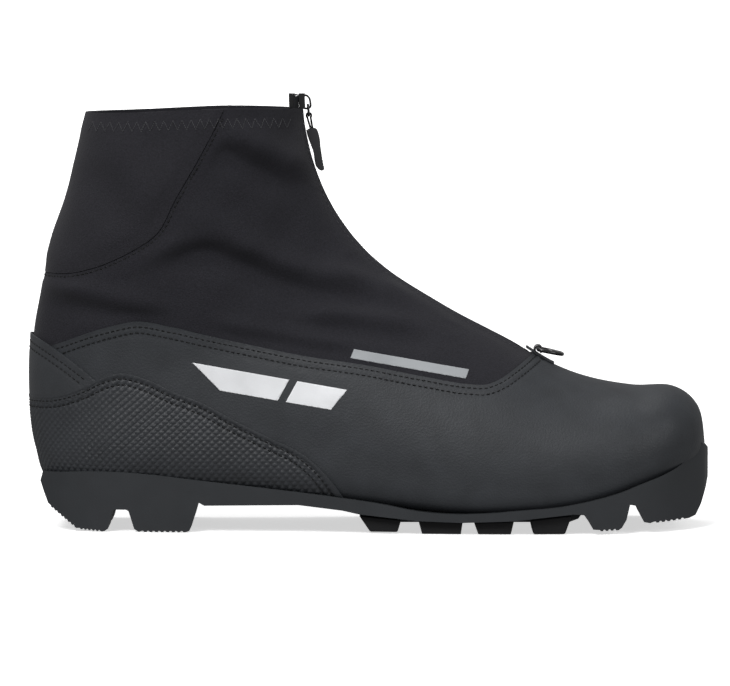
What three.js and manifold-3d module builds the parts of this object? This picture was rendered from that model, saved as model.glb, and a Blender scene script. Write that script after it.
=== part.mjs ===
// Cross country ski boot, right foot. Millimetres, +X to the toe, +Y to the inner side, +Z up.
import * as THREE from "three";
import { mergeVertices } from "three/addons/utils/BufferGeometryUtils.js";
import Module from "manifold-3d";

const wasm = await Module();
wasm.setup();

// ---- driving dimensions ----
const ZIP_ARC = { x: 68.7, z: 189.6, radius: 97.7 }; // the upper zip line is an arc about this axis
const LAYERS = { // inner and outer depth of each layer, measured outward from the boot's surface
  gaiter: [-1.1, 0],
  collarFacing: [-2.1, -1.4],
  lining: [-3.8, -2.4],
  shell: [0.3, 1.4],
  heelPatch: [1.75, 2.7],
  heelCup: [1.75, 2.8],
  lastingBoard: [-1.1, 1.4],
  shank: [-2.1, -1.45],
  eyestay: [-5.4, -4.2],
  tongue: [-8, -6.2],
  zipTape: [-2.1, -1.4],
  zipChain: [-2.6, 0.1],
  ringTab: [1.7, 2.3],
};
const FOOTBED = { edge: -4.1, low: -3.9, high: -8.2 }; // depths of its rim, underside and top
const CUP_CLEARANCE = 1.75; // the sole is hollowed this far outside the surface
const SEAM = 0.3; // gap left between pieces that are sewn or glued together
const SLOT_HALF = 5.4; // half the opening the zip slider runs in
const TEETH = [0.8, 3.4]; // each zip chain's distance from the middle plane, nearest and furthest
const TAPE_EDGES = [3.7, 12.5]; // the same for each zip tape
const TONGUE_HALF = 20;
const RIM_Z = 183.4;

const rad = (degrees) => (degrees * Math.PI) / 180;
const onArc = (degrees, radius = ZIP_ARC.radius) => [
  ZIP_ARC.x - radius * Math.cos(rad(degrees)),
  ZIP_ARC.z - radius * Math.sin(rad(degrees)),
];

// Sections of the boot's surface from the toe tip round the heel and up to the collar:
// top or front point, bottom or back point, outer and inner half width, where it is widest, squareness of each half
const STATIONS = [
  [[146.9, 37], [146.3, 31.5], 3, 9, 0.5, 2, 2],
  [[144, 52], [142, 28], 20, 25, 0.6, 2.2, 2.6],
  [[134, 59.8], [129, 22], 34, 36, 0.66, 2.3, 3.2],
  [[117, 60.1], [111, 15.5], 42, 42, 0.72, 2.3, 4],
  [[97.5, 63.6], [90, 10.5], 46.5, 45.5, 0.76, 2.1, 5],
  [[80.3, 70.2], [65.5, 8.3], 48, 46.5, 0.78, 2, 5.5],
  [[62, 81.3], [37.5, 7.8], 48, 45.5, 0.77, 1.9, 5.5],
  [[38, 94], [1, 11.5], 45, 41, 0.74, 1.9, 5.5],
  [onArc(56.6), [-45, 16.5], 41, 37, 0.68, 1.95, 5],
  [onArc(48), [-95, 18.5], 38, 36, 0.62, 2, 4.2],
  [onArc(42), [-134, 19.5], 36, 35, 0.57, 2.1, 3],
  [onArc(37), [-143.8, 36], 35, 34.5, 0.53, 2.1, 2.5],
  [onArc(31), [-146.6, 64], 35.5, 35, 0.5, 2.1, 2.3],
  [onArc(24.5), [-144.6, 97], 37.5, 37, 0.5, 2.15, 2.25],
  [onArc(17), [-138, 126], 39.5, 39, 0.5, 2.2, 2.25],
  [onArc(9.5), [-129.5, 154.5], 41, 40.5, 0.5, 2.2, 2.2],
  [onArc(4), [-123.5, 182], 41.5, 41, 0.5, 2.2, 2.2],
  [onArc(-3), [-120, 206], 42, 41.5, 0.5, 2.2, 2.2],
];
const LAST = STATIONS.length - 1;
const flat = STATIONS.map(([top, bottom, ...rest]) => [...top, ...bottom, ...rest]);

function station(s) {
  const i = Math.min(Math.max(Math.floor(s), 0), LAST - 1);
  const f = s - i;
  const [a, b, c, d] = [i - 1, i, i + 1, i + 2].map((k) => flat[Math.min(Math.max(k, 0), LAST)]);
  return b.map((v, k) => {
    const slopeIn = (c[k] - a[k]) / 2;
    const slopeOut = (d[k] - v) / 2;
    const f2 = f * f;
    const f3 = f2 * f;
    return (
      (2 * f3 - 3 * f2 + 1) * v + (f3 - 2 * f2 + f) * slopeIn +
      (3 * f2 - 2 * f3) * c[k] + (f3 - f2) * slopeOut
    );
  });
}

function surface(s, angle) {
  const [topX, topZ, bottomX, bottomZ, outer, inner, wide, front, back] = station(s);
  const c = Math.cos(angle);
  const side = Math.sin(angle);
  const round = c > 0 ? front : back;
  const size = Math.pow(Math.abs(c) ** round + Math.abs(side) ** round, 1 / round);
  const reach = Math.abs(c) / size;
  const width = Math.abs(side) / size;
  const t = c > 0 ? wide * (1 - reach) : wide + (1 - wide) * reach;
  const y = side > 0 ? -outer * width : inner * width;
  return new THREE.Vector3(topX + (bottomX - topX) * t, y, topZ + (bottomZ - topZ) * t);
}

function offsetPoint(s, angle, depth) {
  const step = 0.04;
  const low = Math.max(s - step, 0);
  const high = Math.min(s + step, LAST);
  const along = surface(high, angle).sub(surface(low, angle));
  const around = surface(s, angle + step).sub(surface(s, angle - step));
  const normal = along.cross(around).normalize();
  return surface(s, angle).addScaledVector(normal, depth);
}

// ---- solids ----
function toManifold(geometry) {
  const bare = geometry.clone();
  bare.deleteAttribute("normal");
  bare.deleteAttribute("uv");
  const merged = mergeVertices(bare, 1e-5);
  const mesh = new wasm.Mesh({
    numProp: 3,
    vertProperties: Float32Array.from(merged.attributes.position.array),
    triVerts: Uint32Array.from(merged.index.array),
  });
  mesh.merge();
  return new wasm.Manifold(mesh);
}

function toGeometry(solid) {
  const { vertProperties, triVerts, numProp } = solid.getMesh();
  const geometry = new THREE.BufferGeometry();
  const count = vertProperties.length / numProp;
  const positions = new Float32Array(count * 3);
  for (let i = 0; i < count; i++) {
    for (let k = 0; k < 3; k++) positions[3 * i + k] = vertProperties[numProp * i + k];
  }
  geometry.setAttribute("position", new THREE.BufferAttribute(positions, 3));
  geometry.setIndex(new THREE.BufferAttribute(Uint32Array.from(triVerts), 1));
  return geometry;
}

const ROWS = [0, 0.5, 1, 1.5, 2, 3, 4, 5, 6, 7, 8, 9, 10, 10.5, 11, 12, 13, 14, 15, 16, 17];
const EVEN_COLUMNS = 22;
// Even steps round the section, with one more on each side of the front line where the zip needs it
const ANGLES = [0, 0.5, ...Array.from({ length: EVEN_COLUMNS - 1 }, (_, k) => k + 1), EVEN_COLUMNS - 0.5]
  .map((k) => (2 * Math.PI * k) / EVEN_COLUMNS);
const COLUMNS = ANGLES.length;

// The boot's surface moved outward by depth, as one closed solid from the toe to above the collar
const bodies = new Map();
function body(depth) {
  if (bodies.has(depth)) return bodies.get(depth);
  const points = [];
  for (const row of ROWS) {
    for (const angle of ANGLES) points.push(offsetPoint(row, angle, depth));
  }
  const index = [];
  for (let i = 0; i + 1 < ROWS.length; i++) {
    for (let j = 0; j < COLUMNS; j++) {
      const k = (j + 1) % COLUMNS;
      const [a, b, c, d] = [i * COLUMNS + j, i * COLUMNS + k, (i + 1) * COLUMNS + k, (i + 1) * COLUMNS + j];
      index.push(a, b, c, a, c, d);
    }
  }
  for (const [row, turn] of [[0, 1], [ROWS.length - 1, 0]]) {
    const centre = new THREE.Vector3();
    for (let j = 0; j < COLUMNS; j++) centre.add(points[row * COLUMNS + j]);
    points.push(centre.divideScalar(COLUMNS));
    for (let j = 0; j < COLUMNS; j++) {
      const edge = [row * COLUMNS + j, row * COLUMNS + ((j + 1) % COLUMNS)];
      if (turn) edge.reverse();
      index.push(edge[0], edge[1], points.length - 1);
    }
  }
  const geometry = new THREE.BufferGeometry().setFromPoints(points);
  geometry.setIndex(index);
  let solid = toManifold(geometry);
  if (solid.volume() < 0) {
    for (let i = 0; i < index.length; i += 3) [index[i], index[i + 1]] = [index[i + 1], index[i]];
    geometry.setIndex(index);
    solid = toManifold(geometry);
  }
  bodies.set(depth, solid);
  return solid;
}

const layer = ([inside, outside]) => body(outside).subtract(body(inside));

// A side outline in X and Z carried from low to high in Y
function prism(outline, low = -80, high = 80) {
  const shape = new THREE.Shape(outline.map(([x, z]) => new THREE.Vector2(x, z)));
  const geometry = new THREE.ExtrudeGeometry(shape, { depth: high - low, bevelEnabled: false });
  geometry.rotateX(Math.PI / 2);
  geometry.translate(0, high, 0);
  return toManifold(geometry);
}

// A plan outline in X and Y carried from low to high in Z
function plate(outline, low, high) {
  const shape = new THREE.Shape(outline.map(([x, y]) => new THREE.Vector2(x, y)));
  const geometry = new THREE.ExtrudeGeometry(shape, { depth: high - low, bevelEnabled: false });
  geometry.translate(0, 0, low);
  return toManifold(geometry);
}

function box(low, high) {
  const [dx, dy, dz] = [0, 1, 2].map((k) => high[k] - low[k]);
  const geometry = new THREE.BoxGeometry(dx, dy, dz);
  geometry.translate(low[0] + dx / 2, low[1] + dy / 2, low[2] + dz / 2);
  return toManifold(geometry);
}

function rod(from, to, radius, sides = 16) {
  const [a, b] = [new THREE.Vector3(...from), new THREE.Vector3(...to)];
  const geometry = new THREE.CylinderGeometry(radius, radius, a.distanceTo(b), sides);
  const turn = new THREE.Quaternion().setFromUnitVectors(
    new THREE.Vector3(0, 1, 0), b.clone().sub(a).normalize());
  geometry.applyQuaternion(turn);
  geometry.translate((a.x + b.x) / 2, (a.y + b.y) / 2, (a.z + b.z) / 2);
  return toManifold(geometry);
}

const union = (solids) => solids.reduce((whole, piece) => whole.add(piece));
const halfSpace = {
  outer: () => box([-200, -80, -20], [200, -0.2, 230]),
  inner: () => box([-200, 0.2, -20], [200, 80, 230]),
};
const above = (line) => prism([...line, [170, 230], [-170, 230]]);
const below = (line) => prism([...line, [170, -30], [-170, -30]]);
const moved = (line, dx, dz) => line.map(([x, z]) => [x + dx, z + dz]);
const raised = (line, by) => moved(line, 0, by);

// ---- outlines seen from the side ----
const FEATHER = [ // where the upper meets the sole
  [-170, 25], [-139, 25], [-124, 26], [-109, 26], [-94, 25], [-77, 23], [-46, 19.6], [-15, 16], [6, 13],
  [22, 10], [34, 9], [50, 9.2], [66, 10.5], [83, 12], [99, 15], [109, 17.7], [119, 21.4], [129, 25],
  [136, 28.5], [143.5, 34.5], [146.5, 37.2], [170, 37.5],
];
const LASTING = [ // hidden edge where the upper turns under onto the lasting board
  [-170, 24], [-139, 24.1], [-124, 25.1], [-109, 25.1], [-94, 24.1], [-77, 22.1], [-46, 18.7], [-15, 15.1],
  [6, 12.1], [22, 9.1], [34, 8.1], [50, 8.3], [66, 9.6], [83, 11.1], [99, 13.5], [109, 15.6], [119, 18.5],
  [129, 21.5], [136, 24], [143.5, 26], [170, 27],
];
const SHELL_TOP = [ // upper edge of the leather shell
  [-170, 75], [-152, 76], [-134, 81.7], [-120.5, 86.7], [-110, 89.7], [-101, 91.5], [-86, 89.3], [-70.5, 85.7],
  [-46, 80.4], [-29, 77], [-1, 72.8], [25, 67.7], [48, 64.2], [54, 64.8], [60, 67.5], [70, 74.5], [78, 90],
  [170, 100],
];
const PATCH_TOP = [
  [-170, 90], [-152, 88.5], [-145, 85.5], [-133.6, 78], [-124, 70.5], [-117.5, 64.9], [-100, 40], [170, 40],
];
const CUP_TOP = [ // upper edge of the textured heel cup
  [-170, 57.5], [-147, 57.8], [-134, 59], [-124, 62.5], [-115, 67], [-107, 69], [-97.5, 67], [-84, 61],
  [-71, 56], [-58, 49], [-41.5, 41], [-29, 35], [-22.5, 30], [-16, 23], [-11, 15.4], [-9, 5], [170, 0],
];
const BACK_SEAM = [ // lower and front edge of the cuff's back panel
  [-170, 112], [-128, 112.4], [-118, 115], [-108.7, 118.8], [-99, 124], [-92.5, 128.5], [-83, 145], [-70.6, 166.7],
  [-62, 184], [-55, 229],
];
const RIM = [[-170, 181.8], [-100, 182.2], [-62, 183.7], [-30, RIM_Z], [170, RIM_Z]];

// ---- sole ----
// Plan of the sole: x, outer y, inner y
const PLAN = [
  [-148, 5, 5], [-145.5, 15, 15], [-138, 25, 25], [-122, 32, 32], [-98, 36, 35.5], [-70, 38, 36], [-35, 41, 37],
  [0, 45, 40.5], [35, 49, 46], [65, 50.5, 50.5], [90, 49.5, 48.5], [112, 44.5, 44.5], [130, 35, 38], [141, 23, 29],
  [147.5, 13, 21], [150, 3, 11],
];
function planOutline(inset) {
  const rows = inset ? PLAN.slice(2, -2) : PLAN;
  return [
    ...rows.map(([x, outer]) => [x, inset - outer]),
    ...rows.map(([x, , inner]) => [x, inner - inset]).reverse(),
  ];
}
const UNDER = [ // side profile of the underside, from the toe back to the heel
  [150.2, 34], [150.4, 24], [148.7, 18], [146, 10.5], [143.4, 6], [139, 5], [122.5, 4.2], [119.8, 4.8], [118, 8],
  [116.5, 12], [113.6, 12.5], [112, 6], [110, 2.7], [107.5, 1.4], [99.5, 1.4], [97.5, 2.2], [95, 6.4],
  [93.5, 8.5], [89, 8.9], [70, 6.8], [63, 6], [41, 5.2], [22, 5.8], [15, 6.5], [-4, 8.5], [-11, 10], [-30, 12.2],
  [-71, 11.6], [-73.6, 13], [-76.4, 3], [-78, 0], [-99, 0], [-101.5, 1.2], [-104, 9], [-111, 9], [-113, 1.2],
  [-115, 0], [-122, 0], [-127, 1.2], [-132.5, 4.5], [-136, 8], [-139.3, 11], [-141, 16], [-143.5, 25],
];

function outsole() {
  const outline = [...FEATHER.slice(1, -1), ...UNDER];
  const side = prism(outline);
  const keel = prism([[-8, 13], [-2, 4.5], [4, 3], [88, 3], [92, 4.5], [96, 10.5], [60, 8.6], [30, 8.6]], -22, 22);
  const solid = plate(planOutline(0), -1, 60).intersect(side.add(keel)).subtract(body(CUP_CLEARANCE));
  const heelChannel = box([-160, -7, -1], [-60, 7, 8.5]);
  const grooves = [-1, 1].map((way) => box([-12, way * 11 - 3, -1], [112, way * 11 + 3, 4.6]));
  const barRecess = box([132, -17, -1], [143.2, 17, 15]);
  const toeNotch = box([118.5, -14, -1], [133, 14, 6.4]);
  const cut = union([heelChannel, ...grooves, barRecess, toeNotch]);
  return solid.subtract(cut).decompose().sort((a, b) => b.volume() - a.volume())[0];
}

const LUGS = [ // side outlines: front top, front bottom, back bottom, back top
  { number: 1, outline: [[14.5, 6], [12.9, 0.6], [1, 0.6], [-3.8, 7.6]] },
  { number: 2, outline: [[41, 4.8], [40.3, 0], [23.5, 0], [22, 5.4]] },
  { number: 3, outline: [[63.2, 5.5], [61.9, 0], [47.8, 0], [46, 4.9]] },
  { number: 4, outline: [[88.4, 8.3], [85.4, 0], [71.6, 0], [70.2, 6.3]] },
];
const PAD_REACH = [22.5, 60]; // from the keel outward
const PAD_INSET = 4; // how far the pads stand in from the sole's edge
function gripPad(outline, way) {
  const [low, high] = [PAD_REACH[0] * way, PAD_REACH[1] * way].sort((a, b) => a - b);
  return prism(outline, low, high).intersect(plate(planOutline(PAD_INSET), -1, 20));
}

// ---- bands that follow the front line or the bottom line ----
function band(depths, from, to, part = "front", steps = 14) {
  const at = (s, depth) => {
    const p = offsetPoint(s, part === "front" ? 0 : Math.PI, depth);
    return [p.x, p.z];
  };
  const list = Array.from({ length: steps + 1 }, (_, i) => from + ((to - from) * i) / steps);
  return [...list.map((s) => at(s, depths[0])), ...list.reverse().map((s) => at(s, depths[1]))];
}
const arcBand = (depths, from, to, steps = 12) => {
  const list = Array.from({ length: steps + 1 }, (_, i) => from + ((to - from) * i) / steps);
  return [
    ...list.map((a) => onArc(a, ZIP_ARC.radius - depths[0])),
    ...list.reverse().map((a) => onArc(a, ZIP_ARC.radius - depths[1])),
  ];
};
const ZIP_END = 5.55; // station of the zip's lower end
const ARC_END = 8;

const frontSlot = (half, depth = -12) =>
  prism(band([depth, 8], ZIP_END, LAST), -half, half);

// ---- upper ----
const insideShoe = () => below(RIM);
const underShell = () => below(raised(SHELL_TOP, -10));

function vampShell() {
  return layer(LAYERS.shell).intersect(below(SHELL_TOP)).intersect(above(raised(LASTING, SEAM / 2)));
}
function heelCup() {
  return layer(LAYERS.heelCup).intersect(below(CUP_TOP)).intersect(above(raised(FEATHER, SEAM)))
    .intersect(box([-170, -80, 0], [-8, 80, 90]));
}
function heelPatch() {
  return layer(LAYERS.heelPatch).intersect(below(PATCH_TOP)).intersect(above(raised(CUP_TOP, SEAM)))
    .intersect(box([-170, -80, 50], [-117.6, 80, 90]));
}
function gaiterPanel(side) {
  return layer(LAYERS.gaiter).intersect(insideShoe()).subtract(underShell())
    .subtract(above(moved(BACK_SEAM, SEAM, -SEAM))).subtract(frontSlot(SLOT_HALF)).intersect(halfSpace[side]());
}
function backPanel() {
  return layer(LAYERS.gaiter).intersect(insideShoe()).intersect(above(BACK_SEAM));
}
function collarFacing() {
  const upperBand = above([[-170, 170], [170, 170]]);
  return layer(LAYERS.collarFacing).intersect(insideShoe()).intersect(upperBand)
    .subtract(frontSlot(TAPE_EDGES[1] + 0.5));
}
function liningSock() {
  return layer(LAYERS.lining).intersect(below(raised(RIM, -1))).subtract(frontSlot(10.5, -14));
}
function lastingBoard() {
  return layer(LAYERS.lastingBoard).intersect(below(raised(LASTING, -SEAM / 2)))
    .intersect(box([-170, -80, 0], [145, 80, 40]));
}
function footbed() {
  return body(FOOTBED.edge).intersect(prism(band([FOOTBED.low, FOOTBED.high], 1.5, 9.9, "bottom", 12)));
}
function shank() {
  return layer(LAYERS.shank).intersect(box([-122, -7, 5], [-12, 7, 26]));
}
function heelStiffener() {
  const top = [[-170, 62], [-130, 62], [-95, 52], [-70, 30], [-66, 10], [170, 0]];
  return layer(LAYERS.gaiter).intersect(below(top)).intersect(above(raised(LASTING, 0.2)))
    .intersect(box([-170, -80, 0], [-66, 80, 90]));
}
function toePuff() {
  const region = prism([[112, -5], [104, 80], [170, 80], [170, -5]]);
  return layer(LAYERS.gaiter).intersect(region).intersect(above(raised(LASTING, 0.2)));
}
function tongue() {
  const region = prism(band([-16, 4], 6.2, 15.6), -TONGUE_HALF, TONGUE_HALF);
  return layer(LAYERS.tongue).intersect(region);
}
function eyestay(side) {
  const region = prism(band([-25, 6], 6.6, 15.2), -28, 28).subtract(frontSlot(12.5, -40));
  return layer(LAYERS.eyestay).intersect(region).intersect(halfSpace[side]());
}

// ---- zip ----
function zipTape(side) {
  const region = prism(band([-8, 4], ZIP_END + 0.17, LAST), -TAPE_EDGES[1], TAPE_EDGES[1]);
  const upperEnd = below([[-170, 185], [170, 185]]);
  return layer(LAYERS.zipTape).intersect(region).subtract(frontSlot(TAPE_EDGES[0])).intersect(upperEnd)
    .intersect(halfSpace[side]());
}
function zipChain(side) {
  const way = side === "outer" ? -1 : 1;
  const [low, high] = TEETH.map((y) => y * way).sort((a, b) => a - b);
  const upper = prism(arcBand(LAYERS.zipChain, 2.6, 56.6, 14), low, high);
  const lower = prism(band(LAYERS.zipChain, ZIP_END + 0.17, ARC_END + 0.02, "front", 8), low, high);
  return upper.add(lower);
}
function bottomStop() {
  return prism(band([-1.6, 0.5], ZIP_END + 0.03, ZIP_END + 0.13, "front", 2), -4.2, 4.2);
}

const SLIDER_ANGLE = [-0.1, 3.9]; // from its top to its bottom, along the arc
function zipSlider() {
  const piece = (depths, low, high, angles = SLIDER_ANGLE) => prism(arcBand(depths, ...angles, 3), low, high);
  const frontPlate = piece([0.5, 1.4], -5, 5);
  const backPlate = piece([-5.6, -3.5], -5, 5);
  const post = piece([-3.6, 0.6], -0.45, 0.45, [0, 1.6]);
  const flanges = [-1, 1].flatMap((way) => {
    const [low, high] = [4.05 * way, 5 * way].sort((a, b) => a - b);
    return [piece([-0.3, 0.6], low, high), piece([-3.6, -3.2], low, high)];
  });
  const crown = [-1, 1].map((way) => {
    const [low, high] = [1.3 * way, 2.3 * way].sort((a, b) => a - b);
    return piece([1.3, 3.5], low, high, [2.2, 3.7]);
  });
  return union([frontPlate, backPlate, post, ...flanges, ...crown])
    .subtract(rod([LINK_PIN.x, -3, LINK_PIN.z], [LINK_PIN.x, 3, LINK_PIN.z], 0.55, 12));
}
const pinOf = (degrees, depth) => {
  const [x, z] = onArc(degrees, ZIP_ARC.radius - depth);
  return { x, z };
};
const LINK_PIN = pinOf(2.95, 2.65);
const TAB_PIN = { x: LINK_PIN.x + 0.4, z: LINK_PIN.z - 4.6 };

// A small link: a pin in the crown, two side arms and a lower pin that carries the cord
function pullLink() {
  const half = 0.85;
  const [a, b] = [LINK_PIN, TAB_PIN];
  const pin = rod([a.x, -3.6, a.z], [a.x, 3.6, a.z], 0.35, 10);
  const lower = rod([b.x, -3.6, b.z], [b.x, 3.6, b.z], 0.45, 10);
  const side = [[a.x - half, a.z + 0.7], [a.x + half, a.z + 0.7], [b.x + half, b.z - 0.9], [b.x - half, b.z - 0.9]];
  const arm = (y) => prism(side, y - 0.6, y + 0.6);
  return union([pin, lower, arm(-3.4), arm(3.4)]);
}
// Cord that loops round the link's lower pin and runs down into the moulded tab
const CORD_END = { x: TAB_PIN.x + 1.7, z: TAB_PIN.z - 8 };
const cordStrip = (half) => [
  [CORD_END.x + half, CORD_END.z], [TAB_PIN.x + half * 2.2, TAB_PIN.z],
  [TAB_PIN.x - half * 2.2, TAB_PIN.z], [CORD_END.x - half, CORD_END.z],
];
function pullCord() {
  const { x, z } = TAB_PIN;
  const eye = rod([x, -1.1, z], [x, 1.1, z], 1.45, 16);
  const bore = rod([x, -3, z], [x, 3, z], 0.8, 12);
  return eye.add(prism(cordStrip(0.65), -1.1, 1.1)).subtract(bore);
}
function pullTab() {
  const [x, z] = [TAB_PIN.x + 1.3, TAB_PIN.z - 6.4];
  const outline = [
    [x - 2.4, z], [x + 2, z + 0.6], [x + 2.8, z - 1], [x + 4, z - 9], [x + 5.4, z - 17.2], [x + 4.4, z - 17.8],
    [x + 2.8, z - 17], [x + 0.5, z - 9], [x - 2, z - 2],
  ];
  return prism(outline, -4.2, 4.2).subtract(prism(raised(cordStrip(1), -0.4), -1.5, 1.5));
}

// ---- ring at the foot of the gaiter ----
const RING_PIN = { x: 75, z: 77.4 };
function gaiterRing() {
  const wire = 0.85;
  const middleZ = RING_PIN.z - 1.2;
  const frontZ = RING_PIN.z - 2.2;
  const corners = [
    [RING_PIN.x, -7, RING_PIN.z], [RING_PIN.x, 7, RING_PIN.z], [RING_PIN.x + 6, 7, middleZ],
    [RING_PIN.x + 10.6, 3.5, frontZ], [RING_PIN.x + 10.6, -3.5, frontZ], [RING_PIN.x + 6, -7, middleZ],
  ];
  const sides = corners.map((corner, i) => rod(corner, corners[(i + 1) % corners.length], wire, 8));
  const knuckles = corners.map((corner) => {
    const ball = new THREE.SphereGeometry(wire, 8, 6);
    ball.translate(...corner);
    return toManifold(ball);
  });
  return union([...sides, ...knuckles]);
}
function ringClip() {
  const { x, z } = RING_PIN;
  const outline = [
    [x - 2.8, z + 0.8], [x - 1.4, z + 1.9], [x + 0.6, z + 1.9], [x + 1.9, z + 0.8], [x + 1.9, z - 0.8],
    [x + 0.6, z - 1.9], [x - 2.8, z - 1],
  ];
  return prism(outline, -4.6, 4.6).subtract(rod([x, -6, z], [x, 6, z], 1.15, 14))
    .subtract(body(LAYERS.ringTab[1] + SEAM));
}
function ringTab() {
  return layer(LAYERS.ringTab).intersect(prism([[72.3, 60], [72.3, 90], [82, 90], [82, 60]], -5, 5));
}

const BAR = { x: 138, z: 10.5, radius: 2.1 };
function toeBar() {
  return rod([BAR.x, -16.7, BAR.z], [BAR.x, 16.7, BAR.z], BAR.radius, 20);
}

// ---- assembly ----
const FINISHES = {
  leather: { color: 0x3a3c40, roughness: 0.55, metalness: 0 },
  fabric: { color: 0x222326, roughness: 0.9, metalness: 0 },
  rubber: { color: 0x19191b, roughness: 0.8, metalness: 0 },
  plastic: { color: 0x38393d, roughness: 0.6, metalness: 0 },
  steel: { color: 0x9a9da1, roughness: 0.3, metalness: 1 },
  lining: { color: 0x55585c, roughness: 0.95, metalness: 0 },
  metal: { color: 0x1c1c1e, roughness: 0.3, metalness: 0.8 },
};
const boot = new THREE.Group();
boot.name = "cross_country_boot";
function add(name, solid, finish) {
  const geometry = toGeometry(solid);
  geometry.computeVertexNormals();
  const mesh = new THREE.Mesh(geometry, new THREE.MeshStandardMaterial(FINISHES[finish]));
  mesh.name = name;
  boot.add(mesh);
}

add("outsole_plate", outsole(), "plastic");
add("toe_bar", toeBar(), "steel");
for (const { number, outline } of LUGS) {
  add(`grip_pad_${number}_outer`, gripPad(outline, -1), "rubber");
  add(`grip_pad_${number}_inner`, gripPad(outline, 1), "rubber");
}
add("lasting_board", lastingBoard(), "lining");
add("shank", shank(), "steel");
add("footbed", footbed(), "lining");
add("heel_stiffener", heelStiffener(), "plastic");
add("toe_puff", toePuff(), "plastic");
add("lining_sock", liningSock(), "lining");
add("collar_facing", collarFacing(), "fabric");
add("tongue", tongue(), "lining");
add("eyestay_outer", eyestay("outer"), "fabric");
add("eyestay_inner", eyestay("inner"), "fabric");
add("vamp_shell", vampShell(), "leather");
add("heel_patch", heelPatch(), "leather");
add("heel_cup", heelCup(), "leather");
add("gaiter_outer", gaiterPanel("outer"), "fabric");
add("gaiter_inner", gaiterPanel("inner"), "fabric");
add("cuff_back_panel", backPanel(), "fabric");
add("zip_tape_outer", zipTape("outer"), "fabric");
add("zip_tape_inner", zipTape("inner"), "fabric");
add("zip_chain_outer", zipChain("outer"), "rubber");
add("zip_chain_inner", zipChain("inner"), "rubber");
add("zip_bottom_stop", bottomStop(), "metal");
add("zip_slider", zipSlider(), "metal");
add("pull_link", pullLink(), "metal");
add("pull_cord", pullCord(), "fabric");
add("pull_tab", pullTab(), "rubber");
add("gaiter_ring", gaiterRing(), "metal");
add("ring_clip", ringClip(), "metal");
add("ring_tab", ringTab(), "leather");

export default boot;
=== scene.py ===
"""Cross country ski boot, right foot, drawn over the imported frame."""
import math
import bmesh
import bpy
import numpy as np
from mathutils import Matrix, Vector


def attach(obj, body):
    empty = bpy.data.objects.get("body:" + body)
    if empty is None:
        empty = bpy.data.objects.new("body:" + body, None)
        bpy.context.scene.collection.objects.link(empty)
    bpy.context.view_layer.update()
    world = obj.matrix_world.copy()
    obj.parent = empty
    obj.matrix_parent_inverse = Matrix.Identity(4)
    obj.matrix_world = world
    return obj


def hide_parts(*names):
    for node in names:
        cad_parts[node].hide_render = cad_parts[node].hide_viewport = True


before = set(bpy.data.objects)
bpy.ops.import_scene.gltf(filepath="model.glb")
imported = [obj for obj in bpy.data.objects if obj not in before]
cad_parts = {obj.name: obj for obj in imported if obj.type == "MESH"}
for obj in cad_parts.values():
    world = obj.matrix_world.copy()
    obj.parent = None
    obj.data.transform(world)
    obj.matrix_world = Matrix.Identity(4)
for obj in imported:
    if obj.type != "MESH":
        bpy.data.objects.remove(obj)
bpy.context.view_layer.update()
MM = 0.001

# ---- the boot's surface, in millimetres ----
ARC_X, ARC_Z, ARC_R = 68.7, 189.6, 97.7  # the upper zip line is an arc about this axis


def on_arc(degrees, depth=0.0):
    """X and Z on the upper zip line, moved outward by depth."""
    turn = math.radians(degrees)
    radius = ARC_R - depth
    return ARC_X - radius * math.cos(turn), ARC_Z - radius * math.sin(turn)


# for each station: X and Z of its top or front point, the same of its bottom or back point,
# outer and inner half width, share of the way down where it is widest, squareness of its front and back half
STATIONS = np.array([
    [146.9, 37, 146.3, 31.5, 3, 9, 0.5, 2, 2],
    [144, 52, 142, 28, 20, 25, 0.6, 2.2, 2.6],
    [134, 59.8, 129, 22, 34, 36, 0.66, 2.3, 3.2],
    [117, 60.1, 111, 15.5, 42, 42, 0.72, 2.3, 4],
    [97.5, 63.6, 90, 10.5, 46.5, 45.5, 0.76, 2.1, 5],
    [80.3, 70.2, 65.5, 8.3, 48, 46.5, 0.78, 2, 5.5],
    [62, 81.3, 37.5, 7.8, 48, 45.5, 0.77, 1.9, 5.5],
    [38, 94, 1, 11.5, 45, 41, 0.74, 1.9, 5.5],
    [*on_arc(56.6), -45, 16.5, 41, 37, 0.68, 1.95, 5],
    [*on_arc(48), -95, 18.5, 38, 36, 0.62, 2, 4.2],
    [*on_arc(42), -134, 19.5, 36, 35, 0.57, 2.1, 3],
    [*on_arc(37), -143.8, 36, 35, 34.5, 0.53, 2.1, 2.5],
    [*on_arc(31), -146.6, 64, 35.5, 35, 0.5, 2.1, 2.3],
    [*on_arc(24.5), -144.6, 97, 37.5, 37, 0.5, 2.15, 2.25],
    [*on_arc(17), -138, 126, 39.5, 39, 0.5, 2.2, 2.25],
    [*on_arc(9.5), -129.5, 154.5, 41, 40.5, 0.5, 2.2, 2.2],
    [*on_arc(4), -123.5, 182, 41.5, 41, 0.5, 2.2, 2.2],
    [*on_arc(-3), -120, 206, 42, 41.5, 0.5, 2.2, 2.2],
])
LAST = len(STATIONS) - 1
ZIP_END = 5.55  # station of the zip's lower end
NORMAL_STEP = 0.03  # in stations, and in radians
LOCATE_STEPS = 1400


def cubic(f, start, slope_in, end, slope_out):
    """The value at share f of a stretch that leaves start and reaches end at the given slopes."""
    f2, f3 = f * f, f * f * f
    rise, fall = 3 * f2 - 2 * f3, 2 * f3 - 3 * f2 + 1
    return fall * start + (f3 - 2 * f2 + f) * slope_in + rise * end + (f3 - f2) * slope_out


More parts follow.
